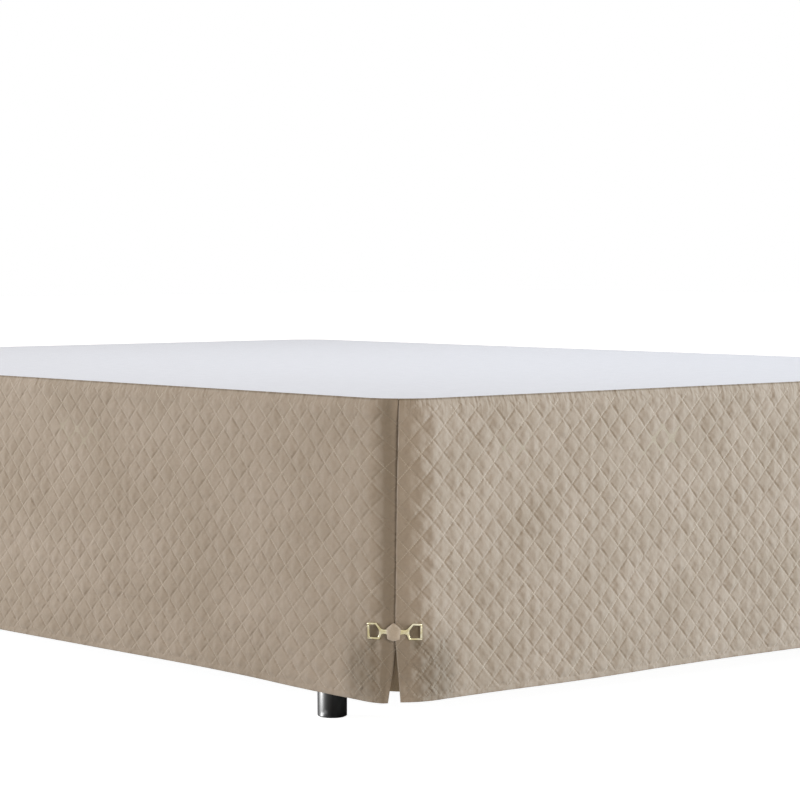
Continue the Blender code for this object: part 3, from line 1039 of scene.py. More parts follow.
@dataclass(frozen=True)
class QuiltRelief:
    """How the quilted cloth stands up between its stitching lines."""

    stitch_thickness: float = 0.0012
    puff: float = 0.0020
    flatness: float = 0.52  # below 1, diamonds rise steeply and then lie flat
    puff_spread: float = 0.30
    crinkle: float = 0.00018
    crinkle_patches: Pair = (1.3, 3.0)  # fine and coarse ones, in grid steps
    coarse_crinkle: float = 1.5  # how much higher the coarse ones are
    crinkle_on_stitches: float = 0.3  # share of its height that a crinkle keeps there
    hem_thickness: float = 0.0019
    roll: float = 0.0018  # rounding of every outer edge
    edge_thickness: float = 0.0003
    least_rise: float = 0.0003

    # Distances from the top seam and from the hem's edge.
    top_rise: Pair = (0.0055, 0.0130)  # where the first diamonds start to puff and are full
    hem_rise: Pair = (0.0062, 0.0114)  # the same for the last ones
    hem_turn: Pair = (0.0068, 0.0058)  # where the turned hem thickens the cloth

    # Least and most of what is drawn for each pucker.
    pucker_depth: float = 0.0015
    pucker_shares: Pair = (0.2, 1.0)
    pucker_spacing: float = 0.011
    pucker_steps: Pair = (0.4, 1.6)
    pucker_drops: Pair = (0.008, 0.022)
    pucker_leans: Pair = (-0.15, 0.15)
    pucker_width: float = 0.0024

    def diamonds(self, rng: np.random.Generator, across: Array, down: Array) -> Array:
        """Height of the puffed diamonds, from 0 on the stitching to about 1.

        Args:
            rng: The seeded source of their differences.
            across: Grid places in half diamonds along the panel.
            down: Grid places in half diamonds below the deck.

        Returns:
            The heights.
        """
        falling, rising = (across + down) / 2, (across - down) / 2
        shape = np.abs(np.sin(np.pi * falling) * np.sin(np.pi * rising)) ** self.flatness
        first = np.floor(falling).astype(int)
        second = np.floor(rising).astype(int)
        plumpness = 1.0 + self.puff_spread * rng.uniform(-1, 1, (first.max() + 2, np.ptp(second) + 2))
        return shape * plumpness[first, second - second.min()]

    def puckers(self, rng: np.random.Generator, along: Array, drop: Array) -> Array:
        """Narrow upright gathers that the top seam draws into the cloth.

        Args:
            rng: The seeded source of their places, depths and leans.
            along: Distances along the panel.
            drop: Depths below the deck.

        Returns:
            What they take from the cloth's height.
        """
        total = np.zeros_like(along)
        place = float(along.min())
        while place < along.max():
            place += self.pucker_spacing * rng.uniform(*self.pucker_steps)
            depth = self.pucker_depth * rng.uniform(*self.pucker_shares) ** 2
            reach = rng.uniform(*self.pucker_drops)
            lean = place + rng.uniform(*self.pucker_leans) * drop
            across = np.exp(-(((along - lean) / self.pucker_width) ** 2))
            total -= depth * across * np.exp(-((drop / reach) ** 2))
        return total


@dataclass(frozen=True)
class BuckleMarks:
    """How the cloth sinks under the two frames of a buckle, and the shade painted into its colour under
    and round them.
    """

    aside: float = 0.0060  # the buckle's middle from the slit, towards the side panel
    drop: float = 0.276
    frame_place: float = 0.0250
    half_size: Pair = (0.0072, 0.0082)
    opening_edge: Pair = (1.15, 0.75)  # where its pressure ends and is full, times half_size
    depth: float = 0.0020
    fold_depth: float = 0.5  # of a fold, as a share of depth
    shade: float = 0.85
    fold_place: Pair = (0.0275, 0.0150)
    fold_reach: float = 0.0092
    fold_shade: float = 0.75
    neck_place: Pair = (0.0135, -0.0065)
    neck_reach: float = 0.0055
    neck_shade: float = 0.45
    hollow_shade: float = 0.28
    hollow_reach: Pair = (0.034, 0.034)
    hollow_drop: float = 0.312
    bunch_middle: Pair = (0.047, 0.325)  # from the slit, and below the deck
    bunch_reach: Pair = (0.030, 0.040)
    bunch_shade: float = 0.52

    def under_frames(self, edge: PanelEdge, position: Array, drop: Array) -> Array:
        """How far places lie under a frame's opening.

        Args:
            edge: The slit's edge of this panel.
            position: Places along the run.
            drop: Their depths below the deck.

        Returns:
            1 under the opening, falling to 0 under the bars round it.
        """
        across = np.abs(position - edge.position - edge.x_side * self.aside) - self.frame_place
        wide, high = self.half_size
        reach = np.maximum(np.abs(across) / wide, np.abs(drop - self.drop) / high)
        return ramp(reach, *self.opening_edge)

    def fold(
        self, edge: PanelEdge, position: Array, drop: Array, place: Pair, reach: float
    ) -> Array:
        """A small hollow on each side of the boss.

        Args:
            edge: The slit's edge of this panel.
            position: Places along the run.
            drop: Their depths below the deck.
            place: The hollow's middle, aside of and below the buckle's.
            reach: Its radius.

        Returns:
            1 in the middle of the hollow, falling to 0.
        """
        across = np.abs(position - edge.position - edge.x_side * self.aside) - place[0]
        below = drop - self.drop - place[1]
        return np.exp(-(across**2 + below**2) / reach**2)

    def hollow(self, distance: Array, drop: Array) -> Array:
        """Shading of the slack cloth that hangs between the buckle and the hem.

        Args:
            distance: How far places are from the slit.
            drop: Their depths below the deck.

        Returns:
            The shading, from 0 to hollow_shade.
        """
        wide, high = self.hollow_reach
        reach = (distance / wide) ** 2 + ((drop - self.hollow_drop) / high) ** 2
        return self.hollow_shade * np.exp(-(reach**2))

    def bunching(self, distance: Array, drop: Array) -> Array:
        """Where the buckle bunches the cloth beside and below it.

        Args:
            distance: How far places are from the slit.
            drop: Their depths below the deck.

        Returns:
            1 in the bunched cloth, falling to 0 round it.
        """
        wide, high = self.bunch_reach
        aside, below = distance - self.bunch_middle[0], drop - self.bunch_middle[1]
        return np.exp(-((aside / wide) ** 4) - (below / high) ** 4)


@dataclass
class QuiltedPanel:
    """One hanging panel of quilted microfibre."""

    name: str
    node: str
    run: Run
    edges: tuple[PanelEdge, PanelEdge]
    folds: tuple[tuple[float, float, float], ...]
    fold_start: float
    seed: int
    stretch: float = 1.0  # how much wider its diamonds are than high
    lean: float = 0.0  # how far they pass along the run for each metre down, cut off the grain
    lean_from: float = 0.045  # nearer to an upright edge they hang straight
    lean_full: float = 0.250
    relief: QuiltRelief = QuiltRelief()
    marks: BuckleMarks = BuckleMarks()
    steps: int = 6  # grid steps to a half diamond
    back_columns: int = 3  # half diamonds to a grid step of the back
    back_rows: int = 5
    samples: int = 4001  # along the panel, to count its diamonds by
    dip_depth: float = 0.0035
    dip_rows: int = 2
    curl_depth: float = 0.0009
    curl_reach: float = 0.0110
    tuck_shade: float = 0.47
    tuck_peak: float = 0.012  # from the slit, where the tucked cloth is darkest
    tuck_reach: float = 0.0340
    flat_edge: float = 0.12  # share of its puff that a diamond keeps where the cloth tucks in
    flat_reach: Pair = (0.004, 0.016)
    flare: float = 0.0012
    flare_reach: float = 0.030
    tightening: float = 0.356  # how much closer the diamonds are drawn in at a slit
    tight_reach: float = 0.046
    shift_reach: float = 0.040
    wobble: float = 0.00045
    wobble_patch: float = 14.0  # in grid steps
    slack: float = 0.00035
    slack_patch: float = 11.0  # in grid steps
    free_from: Pair = (0.2, 3.0)  # half diamonds from an edge, where both start and are full
    least_cloth: float = 0.0007  # that is left under a buckle
    crown: float = 0.0026  # how far the cloth swells out just below its top seam
    crown_rise: Pair = (0.0005, 0.0090)
    crown_fall: Pair = (0.070, 0.012)
    slit_sag: float = 0.0024
    sag_reach: float = 0.12

    # Distances from an outer edge of the grid lines in the last half diamond.
    edge_lines: tuple[float, ...] = (0.0, 0.00025, 0.0008, 0.0018, 0.0050, 0.0100)
    hem_lines: tuple[float, ...] = (
        0.0, 0.00025, 0.0008, 0.0018, 0.0036, 0.0055, 0.0064, 0.0073, 0.0100, 0.0132,
    )  # fmt: skip
    top_lines: tuple[float, ...] = (0.0, 0.00025, 0.0008, 0.0018, 0.0040, 0.0052, 0.0095, 0.0130)

    def grid_line(self, count: int, first: Sequence[float], last: Sequence[float]) -> Array:
        """Places of the grid lines, in half diamonds.

        Args:
            count: Half diamonds in all.
            first: Distances of the lines in the first one from its outer edge.
            last: The same for the last one.

        Returns:
            The places, from 0 to count.
        """
        start = np.array(first) / BED.half_diamond
        end = count - np.array(last[::-1]) / BED.half_diamond
        middle = np.linspace(1.0, count - 1.0, (count - 2) * self.steps + 1)
        return np.concatenate([start, middle, end])

    @property
    def span(self) -> float:
        """Length of the panel along its run."""
        return self.edges[1].position - self.edges[0].position

    @property
    def columns(self) -> int:
        """Half diamonds along the panel.

        Returns:
            Their number, with more where they are drawn closer.
        """
        drawn_in = sum(edge.kind is EdgeKind.OVER for edge in self.edges)
        extra = drawn_in * self.tightening * self.tight_reach / 2 / BED.half_diamond
        return 2 * round(self.span / BED.half_diamond / self.stretch / 2) + round(extra)

    def along(self, across: Array) -> Array:
        """Distances along the panel of places counted in half diamonds.

        Args:
            across: The places, from 0 to columns.

        Returns:
            Their distances from the first edge.
        """
        distances = np.linspace(0.0, self.span, self.samples)
        density = np.ones_like(distances)
        for edge, away in self.edge_distances(self.edges[0].position + distances):
            if edge.kind is EdgeKind.OVER:
                density += self.tightening * np.clip(1.0 - away / self.tight_reach, 0.0, 1.0)
        counted = np.concatenate([[0.0], np.cumsum((density[1:] + density[:-1]) / 2)])
        return np.interp(across, counted * self.columns / counted[-1], distances)

    def edge_distances(self, position: Array) -> list[tuple[PanelEdge, Array]]:
        """Each upright edge, with every place's distance from it."""
        return [(edge, np.abs(position - edge.position)) for edge in self.edges]

    def point(self, position: Array, drop: Array, raised: Array) -> Array:
        """Where grid places lie once the panel hangs.

        Args:
            position: Their places along the run.
            drop: Their depths below the deck.
            raised: How far they stand out from the panel's back.

        Returns:
            The points, as X, Y and Z.
        """
        shifted = position.copy()
        out = raised + self.drape(position, drop)
        for edge, distance in self.edge_distances(position):
            weight = np.clip(1.0 - distance / self.shift_reach, 0.0, 1.0) ** 2
            shifted += edge.sign * weight * np.interp(drop, SLIT_DROPS, SLIT_PASSES[edge.kind])
            if edge.kind is EdgeKind.UNDER:
                across = np.clip(1.0 - distance / BED.half_diamond, 0.0, 1.0)
                down = np.clip(drop / (self.dip_rows * BED.half_diamond), 0.0, 1.0)
                curl = self.curl_depth * ramp(distance, self.curl_reach, 0.0)
                out -= (self.dip_depth * across + curl) * down
            elif edge.kind is EdgeKind.OVER:
                out += self.flare * np.clip(1.0 - distance / self.flare_reach, 0.0, 1.0)
        places, outward = self.run.place(np.maximum(shifted, 0.0))
        chord = BED.turn_radius * (1 / math.cos(BED.half_diamond / BED.turn_radius / 2) - 1)
        out += chord * self.run.turning(position)
        points = np.empty(position.shape + (3,))
        points[..., :2] = places + out[..., None] * outward
        points[..., 2] = BED.top - drop - self.sag(position, drop)
        return points

    def leaning(self, position: Array, down: Array) -> Array:
        """How far the diamonds' lean carries grid places along the run.

        Args:
            position: Their places along it.
            down: Their half diamonds below the deck.

        Returns:
            The distances.
        """
        inner = np.minimum.reduce([distance for _, distance in self.edge_distances(position)])
        share = ramp(inner, self.lean_from, self.lean_full)
        return self.lean * share * (down - BED.quilt_rows / 2) * BED.half_diamond

    def sag(self, position: Array, drop: Array) -> Array:
        """How much lower the cloth hangs towards a slit that nothing holds it up at.

        Args:
            position: Places along the run.
            drop: Their depths below the deck.

        Returns:
            The distances.
        """
        total = np.zeros_like(position)
        for edge, distance in self.edge_distances(position):
            if edge.kind is EdgeKind.UNDER:
                total += self.slit_sag * np.exp(-((distance / self.sag_reach) ** 2))
        return total * (drop / BED.skirt_drop) ** 2

    def drape(self, position: Array, drop: Array) -> Array:
        """How far the panel's soft waves and the swell below its top seam carry it outwards.

        Args:
            position: Places along the run.
            drop: Their depths below the deck.

        Returns:
            The distances.
        """
        total = np.zeros_like(position)
        distance = np.abs(position - self.fold_start)
        for centre, width, depth in self.folds:
            reach = np.clip(np.abs(distance - centre) / width, 0.0, 1.0)
            total += depth * (0.5 + 0.5 * np.cos(np.pi * reach))
        crown = self.crown * ramp(drop, *self.crown_rise) * ramp(drop, *self.crown_fall)
        return total * drop / BED.skirt_drop + crown

    def front_height(self, rng: np.random.Generator, across: Array, down: Array) -> Array:
        """Thickness of the cloth at every place of the front grid.

        Args:
            rng: The seeded source of its unevenness.
            across: The grid's places in half diamonds along the panel.
            down: The same below the deck.

        Returns:
            The thicknesses.
        """
        relief = self.relief
        along = self.along(across)
        drop = down * BED.half_diamond
        hem = BED.skirt_drop - drop
        sides = np.minimum(along, self.span - along)
        puffs = relief.diamonds(rng, across, down)
        puffs = puffs * ramp(drop, *relief.top_rise) * ramp(hem, *relief.hem_rise)
        for edge, distance in self.edge_distances(self.edges[0].position + along):
            if edge.kind is EdgeKind.UNDER:
                risen = ramp(distance, *self.flat_reach)
                puffs = puffs * (self.flat_edge + (1 - self.flat_edge) * risen)
        height = relief.stitch_thickness + relief.puff * puffs
        fine, coarse = (soft_noise(rng, across.shape, patch) for patch in relief.crinkle_patches)
        kept = relief.crinkle_on_stitches + (1 - relief.crinkle_on_stitches) * puffs
        height = height + relief.crinkle * (fine + relief.coarse_crinkle * coarse) * kept
        height = height + relief.puckers(rng, along, drop)
        band = ramp(hem, *relief.hem_turn)
        height = height + (relief.hem_thickness - relief.stitch_thickness) * band
        rim = np.minimum(np.minimum(drop, hem), sides)
        rounded = np.sqrt(1.0 - np.clip(1.0 - rim / relief.roll, 0.0, 1.0) ** 2)
        rise = np.maximum(height - relief.edge_thickness, relief.least_rise)
        return relief.edge_thickness + rise * rounded

    def buckle_marks(self, across: Array, down: Array) -> tuple[Array, Array, Array]:
        """What the buckles and the tucked edges do to the front.

        Args:
            across: The grid's places in half diamonds along the panel.
            down: The same below the deck.

        Returns:
            Its painted shade, the depth of its hollows, and how far it is bunched.
        """
        position = self.edges[0].position + self.along(across)
        drop = down * BED.half_diamond
        shading, depth, bunched = (np.zeros_like(across) for _ in range(3))
        for edge, distance in self.edge_distances(position):
            # A tucked edge gets painted shade, darkest a little way from the slit.
            if edge.kind is EdgeKind.UNDER:
                peak = self.tuck_peak
                shade = ramp(distance, self.tuck_reach, peak) * ramp(distance, 0.0, peak)
                shading += self.tuck_shade * shade
            if edge.kind is not EdgeKind.PLAIN:
                marks = self.marks
                under = marks.under_frames(edge, position, drop)
                folds = marks.fold(edge, position, drop, marks.fold_place, marks.fold_reach)
                necks = marks.fold(edge, position, drop, marks.neck_place, marks.neck_reach)
                bunch = marks.bunching(distance, drop)
                # Shade painted into the colour in the folds below the frames, beside the necks, in the
                # slack and bunched cloth below the buckle, and under the frames' openings.
                for shade in (
                    marks.fold_shade * folds,
                    marks.neck_shade * necks,
                    marks.hollow(distance, drop),
                    marks.bunch_shade * bunch,
                    marks.shade * under,
                ):
                    shading = np.maximum(shading, shade)
                depth += marks.depth * np.maximum(under, marks.fold_depth * folds)
                bunched = np.maximum(bunched, bunch)
        return shading, depth, bunched

    def add_grid(self, bm: BMesh, points: Array) -> tuple[list[list[BMVert]], list[int]]:
        """Add one grid of faces through a table of points.

        Args:
            bm: The mesh that gets it.
            points: The table, in rows from the deck down.

        Returns:
            Its vertices in the same rows, and the table's numbers in the order they were made.
        """
        rows, columns = points.shape[:2]
        made = bmesh.ops.create_grid(bm, x_segments=columns - 1, y_segments=rows - 1, size=0.5)
        table: list[list[BMVert]] = [[None] * columns for _ in range(rows)]
        order = []
        for vertex in made["verts"]:
            column = round((vertex.co.x + 0.5) * (columns - 1))
            row = round((0.5 - vertex.co.y) * (rows - 1))
            vertex.co = points[row, column]
            table[row][column] = vertex
            order.append(row * columns + column)
        return table, order

    def crease(self, bm: BMesh, table: list[list[BMVert]], across: Array, down: Array) -> None:
        """Split the front's faces in the direction of the stitching that crosses them.

        Args:
            bm: The panel's mesh, which holds the front alone.
            table: The front's vertices, in rows.
            across: Places of its columns in half diamonds.
            down: The same of its rows.
        """
        places = {vert: (c, r) for r, line in enumerate(table) for c, vert in enumerate(line)}
        groups: dict[bool, list[BMFace]] = {True: [], False: []}
        for face in bm.faces:
            (c0, r0), (c1, r1) = (places[face.verts[number]] for number in (0, 2))
            cell = math.floor((across[c0] + across[c1]) / 2) + math.floor((down[r0] + down[r1]) / 2)
            runs_down = (c1 - c0) * (r1 - r0) > 0
            groups[runs_down == (cell % 2 == 0)].append(face)
        bmesh.ops.triangulate(bm, faces=groups[True], quad_method="FIXED")
        bmesh.ops.triangulate(bm, faces=groups[False], quad_method="ALTERNATE")

    def back_lines(self) -> tuple[Array, Array]:
        """The few columns and rows of the flat back.

        Returns:
            Their places in half diamonds.
        """
        every = np.arange(self.columns + 1)
        position = self.edges[0].position + self.along(every)
        kept = (every % self.back_columns == 0) | (every == self.columns)
        kept |= self.run.turning(position) > 0
        step = self.back_rows
        rows = [0, self.dip_rows, *range(self.dip_rows + step, BED.quilt_rows + 1, step)]
        return every[kept].astype(float), np.array(rows, dtype=float)

    def close_rim(
        self, bm: BMesh, front: list[BMVert], back: list[BMVert], fine: Array, coarse: Array
    ) -> None:
        """Join one border of the front to the same border of the back.

        Args:
            bm: The panel's mesh.
            front: Vertices along the front's border.
            back: Vertices along the back's border.
            fine: Places of the front's vertices along it.
            coarse: Places of the back's.
        """
        for number in range(len(coarse) - 1):
            low, high = coarse[number] - 1e-6, coarse[number + 1] + 1e-6
            strip = [vert for vert, place in zip(front, fine) if low <= place <= high]
            face = bm.faces.new(strip + [back[number + 1], back[number]])
            face.smooth = False

    def build(self, finishes: Finishes) -> list[Piece]:
        """Make the panel.

        Args:
            finishes: The part's finishes.

        Returns:
            The panel alone.
        """
        rng = np.random.default_rng(self.seed)
        across = self.grid_line(self.columns, self.edge_lines, self.edge_lines)
        down = self.grid_line(BED.quilt_rows, self.top_lines, self.hem_lines)
        columns, rows = np.meshgrid(across, down)
        height = self.front_height(rng, columns, rows)
        # Shade to paint into the colour, how far the buckles sink the cloth, and how far they bunch it.
        painted_shade, sunk, bunched = self.buckle_marks(columns, rows)
        height = np.maximum(height - sunk, np.minimum(height, self.least_cloth))
        inner = np.minimum.reduce([columns, self.columns - columns, rows, BED.quilt_rows - rows])
        free = ramp(inner, *self.free_from)
        height += self.slack * soft_noise(rng, columns.shape, self.slack_patch) * free
        position = self.edges[0].position + self.along(columns)
        position += self.leaning(position, rows)
        position += self.wobble * soft_noise(rng, columns.shape, self.wobble_patch) * free
        drop = rows * BED.half_diamond
        drop += self.wobble * soft_noise(rng, columns.shape, self.wobble_patch) * free
        bm = bmesh.new()
        front, front_order = self.add_grid(bm, self.point(position, drop, height))
        self.crease(bm, front, across, down)
        for face in bm.faces:
            face.smooth = True
        back_across, back_down = self.back_lines()
        back_columns, back_rows = np.meshgrid(back_across, back_down)
        back_position = self.edges[0].position + self.along(back_columns)
        flat = np.zeros_like(back_position)
        front_faces = len(bm.faces)
        back_drop = back_rows * BED.half_diamond
        back, back_order = self.add_grid(bm, self.point(back_position, back_drop, flat))
        bm.faces.ensure_lookup_table()
        for face in bm.faces[front_faces:]:
            face.smooth = True
            face.material_index = 1
        for row in (0, -1):
            self.close_rim(bm, front[row], back[row], across, back_across)
        for column in (0, -1):
            front_edge, back_edge = ([line[column] for line in grid] for grid in (front, back))
            self.close_rim(bm, front_edge, back_edge, down, back_down)
        close_outwards(bm)
        cloth = (finishes.quilted, finishes.backing)
        piece = make_piece(self.name, bm, cloth, (self.node,))
        fronts = np.stack([columns.ravel(), rows.ravel()], axis=-1)[front_order]
        backs = np.stack([back_columns.ravel(), back_rows.ravel()], axis=-1)[back_order]
        write_map(piece.data, "quilt", np.concatenate([fronts, backs]))
        # The first attribute is shade that the material paints into the cloth's colour.
        for name, values in (("painted_shade", painted_shade), ("bunched", bunched)):
            marked = piece.data.attributes.new(name, "FLOAT", "POINT")
            values = np.concatenate([values.ravel()[front_order], np.zeros(len(backs))])
            marked.data.foreach_set("value", values.astype(np.float32))
        return [piece]


def panel_run(
    quarter: int, corners: Sequence[tuple[int, int]], start: Sequence[float], length: float
) -> Run:
    """The run of one panel: a corner, a straight side and the next corner.

    Args:
        quarter: Quarter turns from +X to the outward direction at its start.
        corners: The sides that its two corners lie on, as BED.corner takes them.
        start: Where the straight side starts.
        length: How long that side is.

    Returns:
        The run.
    """
    arc = BED.turn_radius * RIGHT_ANGLE
    first, last = quarter * RIGHT_ANGLE, (quarter + 1) * RIGHT_ANGLE
    return Run(
        (
            Stretch(BED.corner(*corners[0]), first, arc, True),
            Stretch(Vector((*start, 0.0)), last, length, False),
            Stretch(BED.corner(*corners[1]), last, arc, True),
        )
    )


def skirt_panels() -> tuple[QuiltedPanel, ...]:
    """The two side panels and the foot panel, each with its run.

    Returns:
        The panels, from left to right as seen from the foot.
    """
    side_length = BED.length - 2 * BED.corner_radius
    foot_length = BED.width - 2 * BED.corner_radius
    head_start = BED.length / 2 - BED.corner_radius
    left = panel_run(1, ((-1, 1), (-1, -1)), (-BED.width / 2, head_start), side_length)
    foot = panel_run(2, ((-1, -1), (1, -1)), (-foot_length / 2, -BED.length / 2), foot_length)
    right = panel_run(3, ((1, -1), (1, 1)), (BED.width / 2, -head_start), side_length)
    half_turn = BED.turn_radius * RIGHT_ANGLE / 2
    left_end, foot_end = left.length - half_turn, foot.length - half_turn
    over, under, plain = EdgeKind.OVER, EdgeKind.UNDER, EdgeKind.PLAIN
    left_edges = (PanelEdge(0.0, -1, plain), PanelEdge(left_end, 1, under))
    foot_edges = (PanelEdge(half_turn, -1, over), PanelEdge(foot_end, 1, over))
    right_edges = (PanelEdge(half_turn, -1, under), PanelEdge(right.length, 1, plain))
    left_shape = (SIDE_FOLDS, left_end, 11, SIDE_STRETCH, -SIDE_LEAN)
    right_shape = (SIDE_FOLDS, half_turn, 13, SIDE_STRETCH, SIDE_LEAN)
    return (
        QuiltedPanel("quilted_side_left", "side_panel_left", left, left_edges, *left_shape),
        QuiltedPanel("quilted_foot", "foot_panel", foot, foot_edges, FOOT_FOLDS, half_turn, 12),
        QuiltedPanel("quilted_side_right", "side_panel_right", right, right_edges, *right_shape),
    )


# ---- Deck sheet and underlays ----


@dataclass
class DeckSheet:
    """The plain sheet that lies on the base and carries the panels."""

    step: float = 0.012
    wrinkle: float = 0.00035
    wrinkle_patches: Pair = (3.0, 9.0)  # fine and coarse ones, in steps
    coarse_wrinkle: float = 1.4  # how much higher the coarse ones are
    raised: float = 0.3  # how far all are lifted, in their own heights
    flat_border: float = 0.012
    border_ease: float = 0.040
    seed: int = 21

    @property
    def half_width(self) -> float:
        """Half of the sheet's width."""
        return BED.width / 2 + BED.hang_gap - BED.seam_gap

    @property
    def half_length(self) -> float:
        """Half of the sheet's length."""
        return BED.length / 2 + BED.hang_gap - BED.seam_gap

    @property
    def radius(self) -> float:
        """Radius of the sheet's corners."""
        return BED.corner_radius + BED.hang_gap - BED.seam_gap

    def rounded(self, x: float, y: float) -> Pair:
        """Carry a point of the square-cornered sheet to the round-cornered one.

        Args:
            x: Its place across the bed.
            y: Its place along it.

        Returns:
            Both places in the round-cornered sheet.
        """
        core_x, core_y = self.half_width - self.radius, self.half_length - self.radius
        past_x, past_y = abs(x) - core_x, abs(y) - core_y
        if past_x <= 0 or past_y <= 0:
            return x, y
        scale = max(past_x, past_y) / math.hypot(past_x, past_y)
        new_x, new_y = core_x + past_x * scale, core_y + past_y * scale
        return math.copysign(new_x, x), math.copysign(new_y, y)

    def build(self, finishes: Finishes) -> list[Piece]:
        """Make the deck sheet, lightly creased, its border flat.

        Args:
            finishes: The part's finishes.

        Returns:
            The sheet alone.
        """
        columns = round(2 * self.half_width / self.step)
        rows = round(2 * self.half_length / self.step)
        rng = np.random.default_rng(self.seed)
        shape = (rows + 1, columns + 1)
        fine, coarse = (soft_noise(rng, shape, patch) for patch in self.wrinkle_patches)
        waves = fine + self.coarse_wrinkle * coarse
        bm = bmesh.new()
        made = bmesh.ops.create_grid(bm, x_segments=columns, y_segments=rows, size=0.5)
        for vertex in made["verts"]:
            column = round((vertex.co.x + 0.5) * columns)
            row = round((vertex.co.y + 0.5) * rows)
            flat_x = vertex.co.x * 2 * self.half_width
            flat_y = vertex.co.y * 2 * self.half_length
            margin = min(self.half_width - abs(flat_x), self.half_length - abs(flat_y))
            x, y = self.rounded(flat_x, flat_y)
            lift = self.wrinkle * max(0.0, float(waves[row, column]) + self.raised)
            lift *= min(1.0, max(0.0, margin - self.flat_border) / self.border_ease)
            vertex.co = (x, y, BED.top + lift)
        raised = bmesh.ops.extrude_face_region(bm, geom=bm.faces[:])["geom"]
        for vertex in moved_verts(raised):
            vertex.co.z = BED.top - BED.deck_thickness
        close_outwards(bm)
        cloth = (finishes.deck,)
        piece = make_piece("deck_cloth", bm, cloth, ("deck_sheet",), sharp_angle=60)
        write_map(piece.data, "cloth", np.array([v.co[:2] for v in piece.data.vertices]))
        width, length = 2 * self.half_width, 2 * self.half_length
        return [piece]


@dataclass
class CornerUnderlay:
    """The plain dark cloth that hangs behind one slit."""

    side: Side
    gap: float = 0.0008
    thickness: float = 0.0012
    half_angle: float = math.radians(38)
    shortfall: float = 0.0105
    drift: float = 0.006
    drift_power: float = 1.4
    columns: int = 20
    rows: int = 72
    ripple: float = 0.00025
    ripple_turns: float = 7.0

    def build(self, finishes: Finishes) -> list[Piece]:
        """Make the underlay: flat on the base's corner, then drifting in below it.

        Args:
            finishes: The part's finishes.

        Returns:
            The underlay alone.
        """
        foot = BED.hem_clearance + self.shortfall
        height = BED.base_top - foot
        inner = BED.corner_radius + self.gap
        centre, middle = self.side.foot_corner, self.side.corner_angle
        bm = bmesh.new()
        made = bmesh.ops.create_grid(bm, x_segments=self.columns, y_segments=self.rows, size=0.5)
        for vertex in made["verts"]:
            share = vertex.co.x * 2
            z = foot + (vertex.co.y + 0.5) * height
            below = max(0.0, BED.base_bottom - z) / (BED.base_bottom - foot)
            radius = inner - self.drift * below**self.drift_power
            radius += self.ripple * below * math.cos(share * self.ripple_turns)
            angle = middle + share * self.half_angle
            vertex.co = centre + radius * direction(angle) + Vector((0.0, 0.0, z))
        raised = bmesh.ops.extrude_face_region(bm, geom=bm.faces[:])["geom"]
        for vertex in moved_verts(raised):
            radial = (vertex.co - centre) * Vector((1.0, 1.0, 0.0))
            vertex.co += self.thickness * radial.normalized()
        close_outwards(bm)
        name, cloth = f"underlay_{self.side.word}", (finishes.underlay,)
        node = f"corner_underlay_{self.side.word}"
        piece = make_piece(name, bm, cloth, (node,), sharp_angle=50)
        return [piece]


# ---- Bed base and legs ----


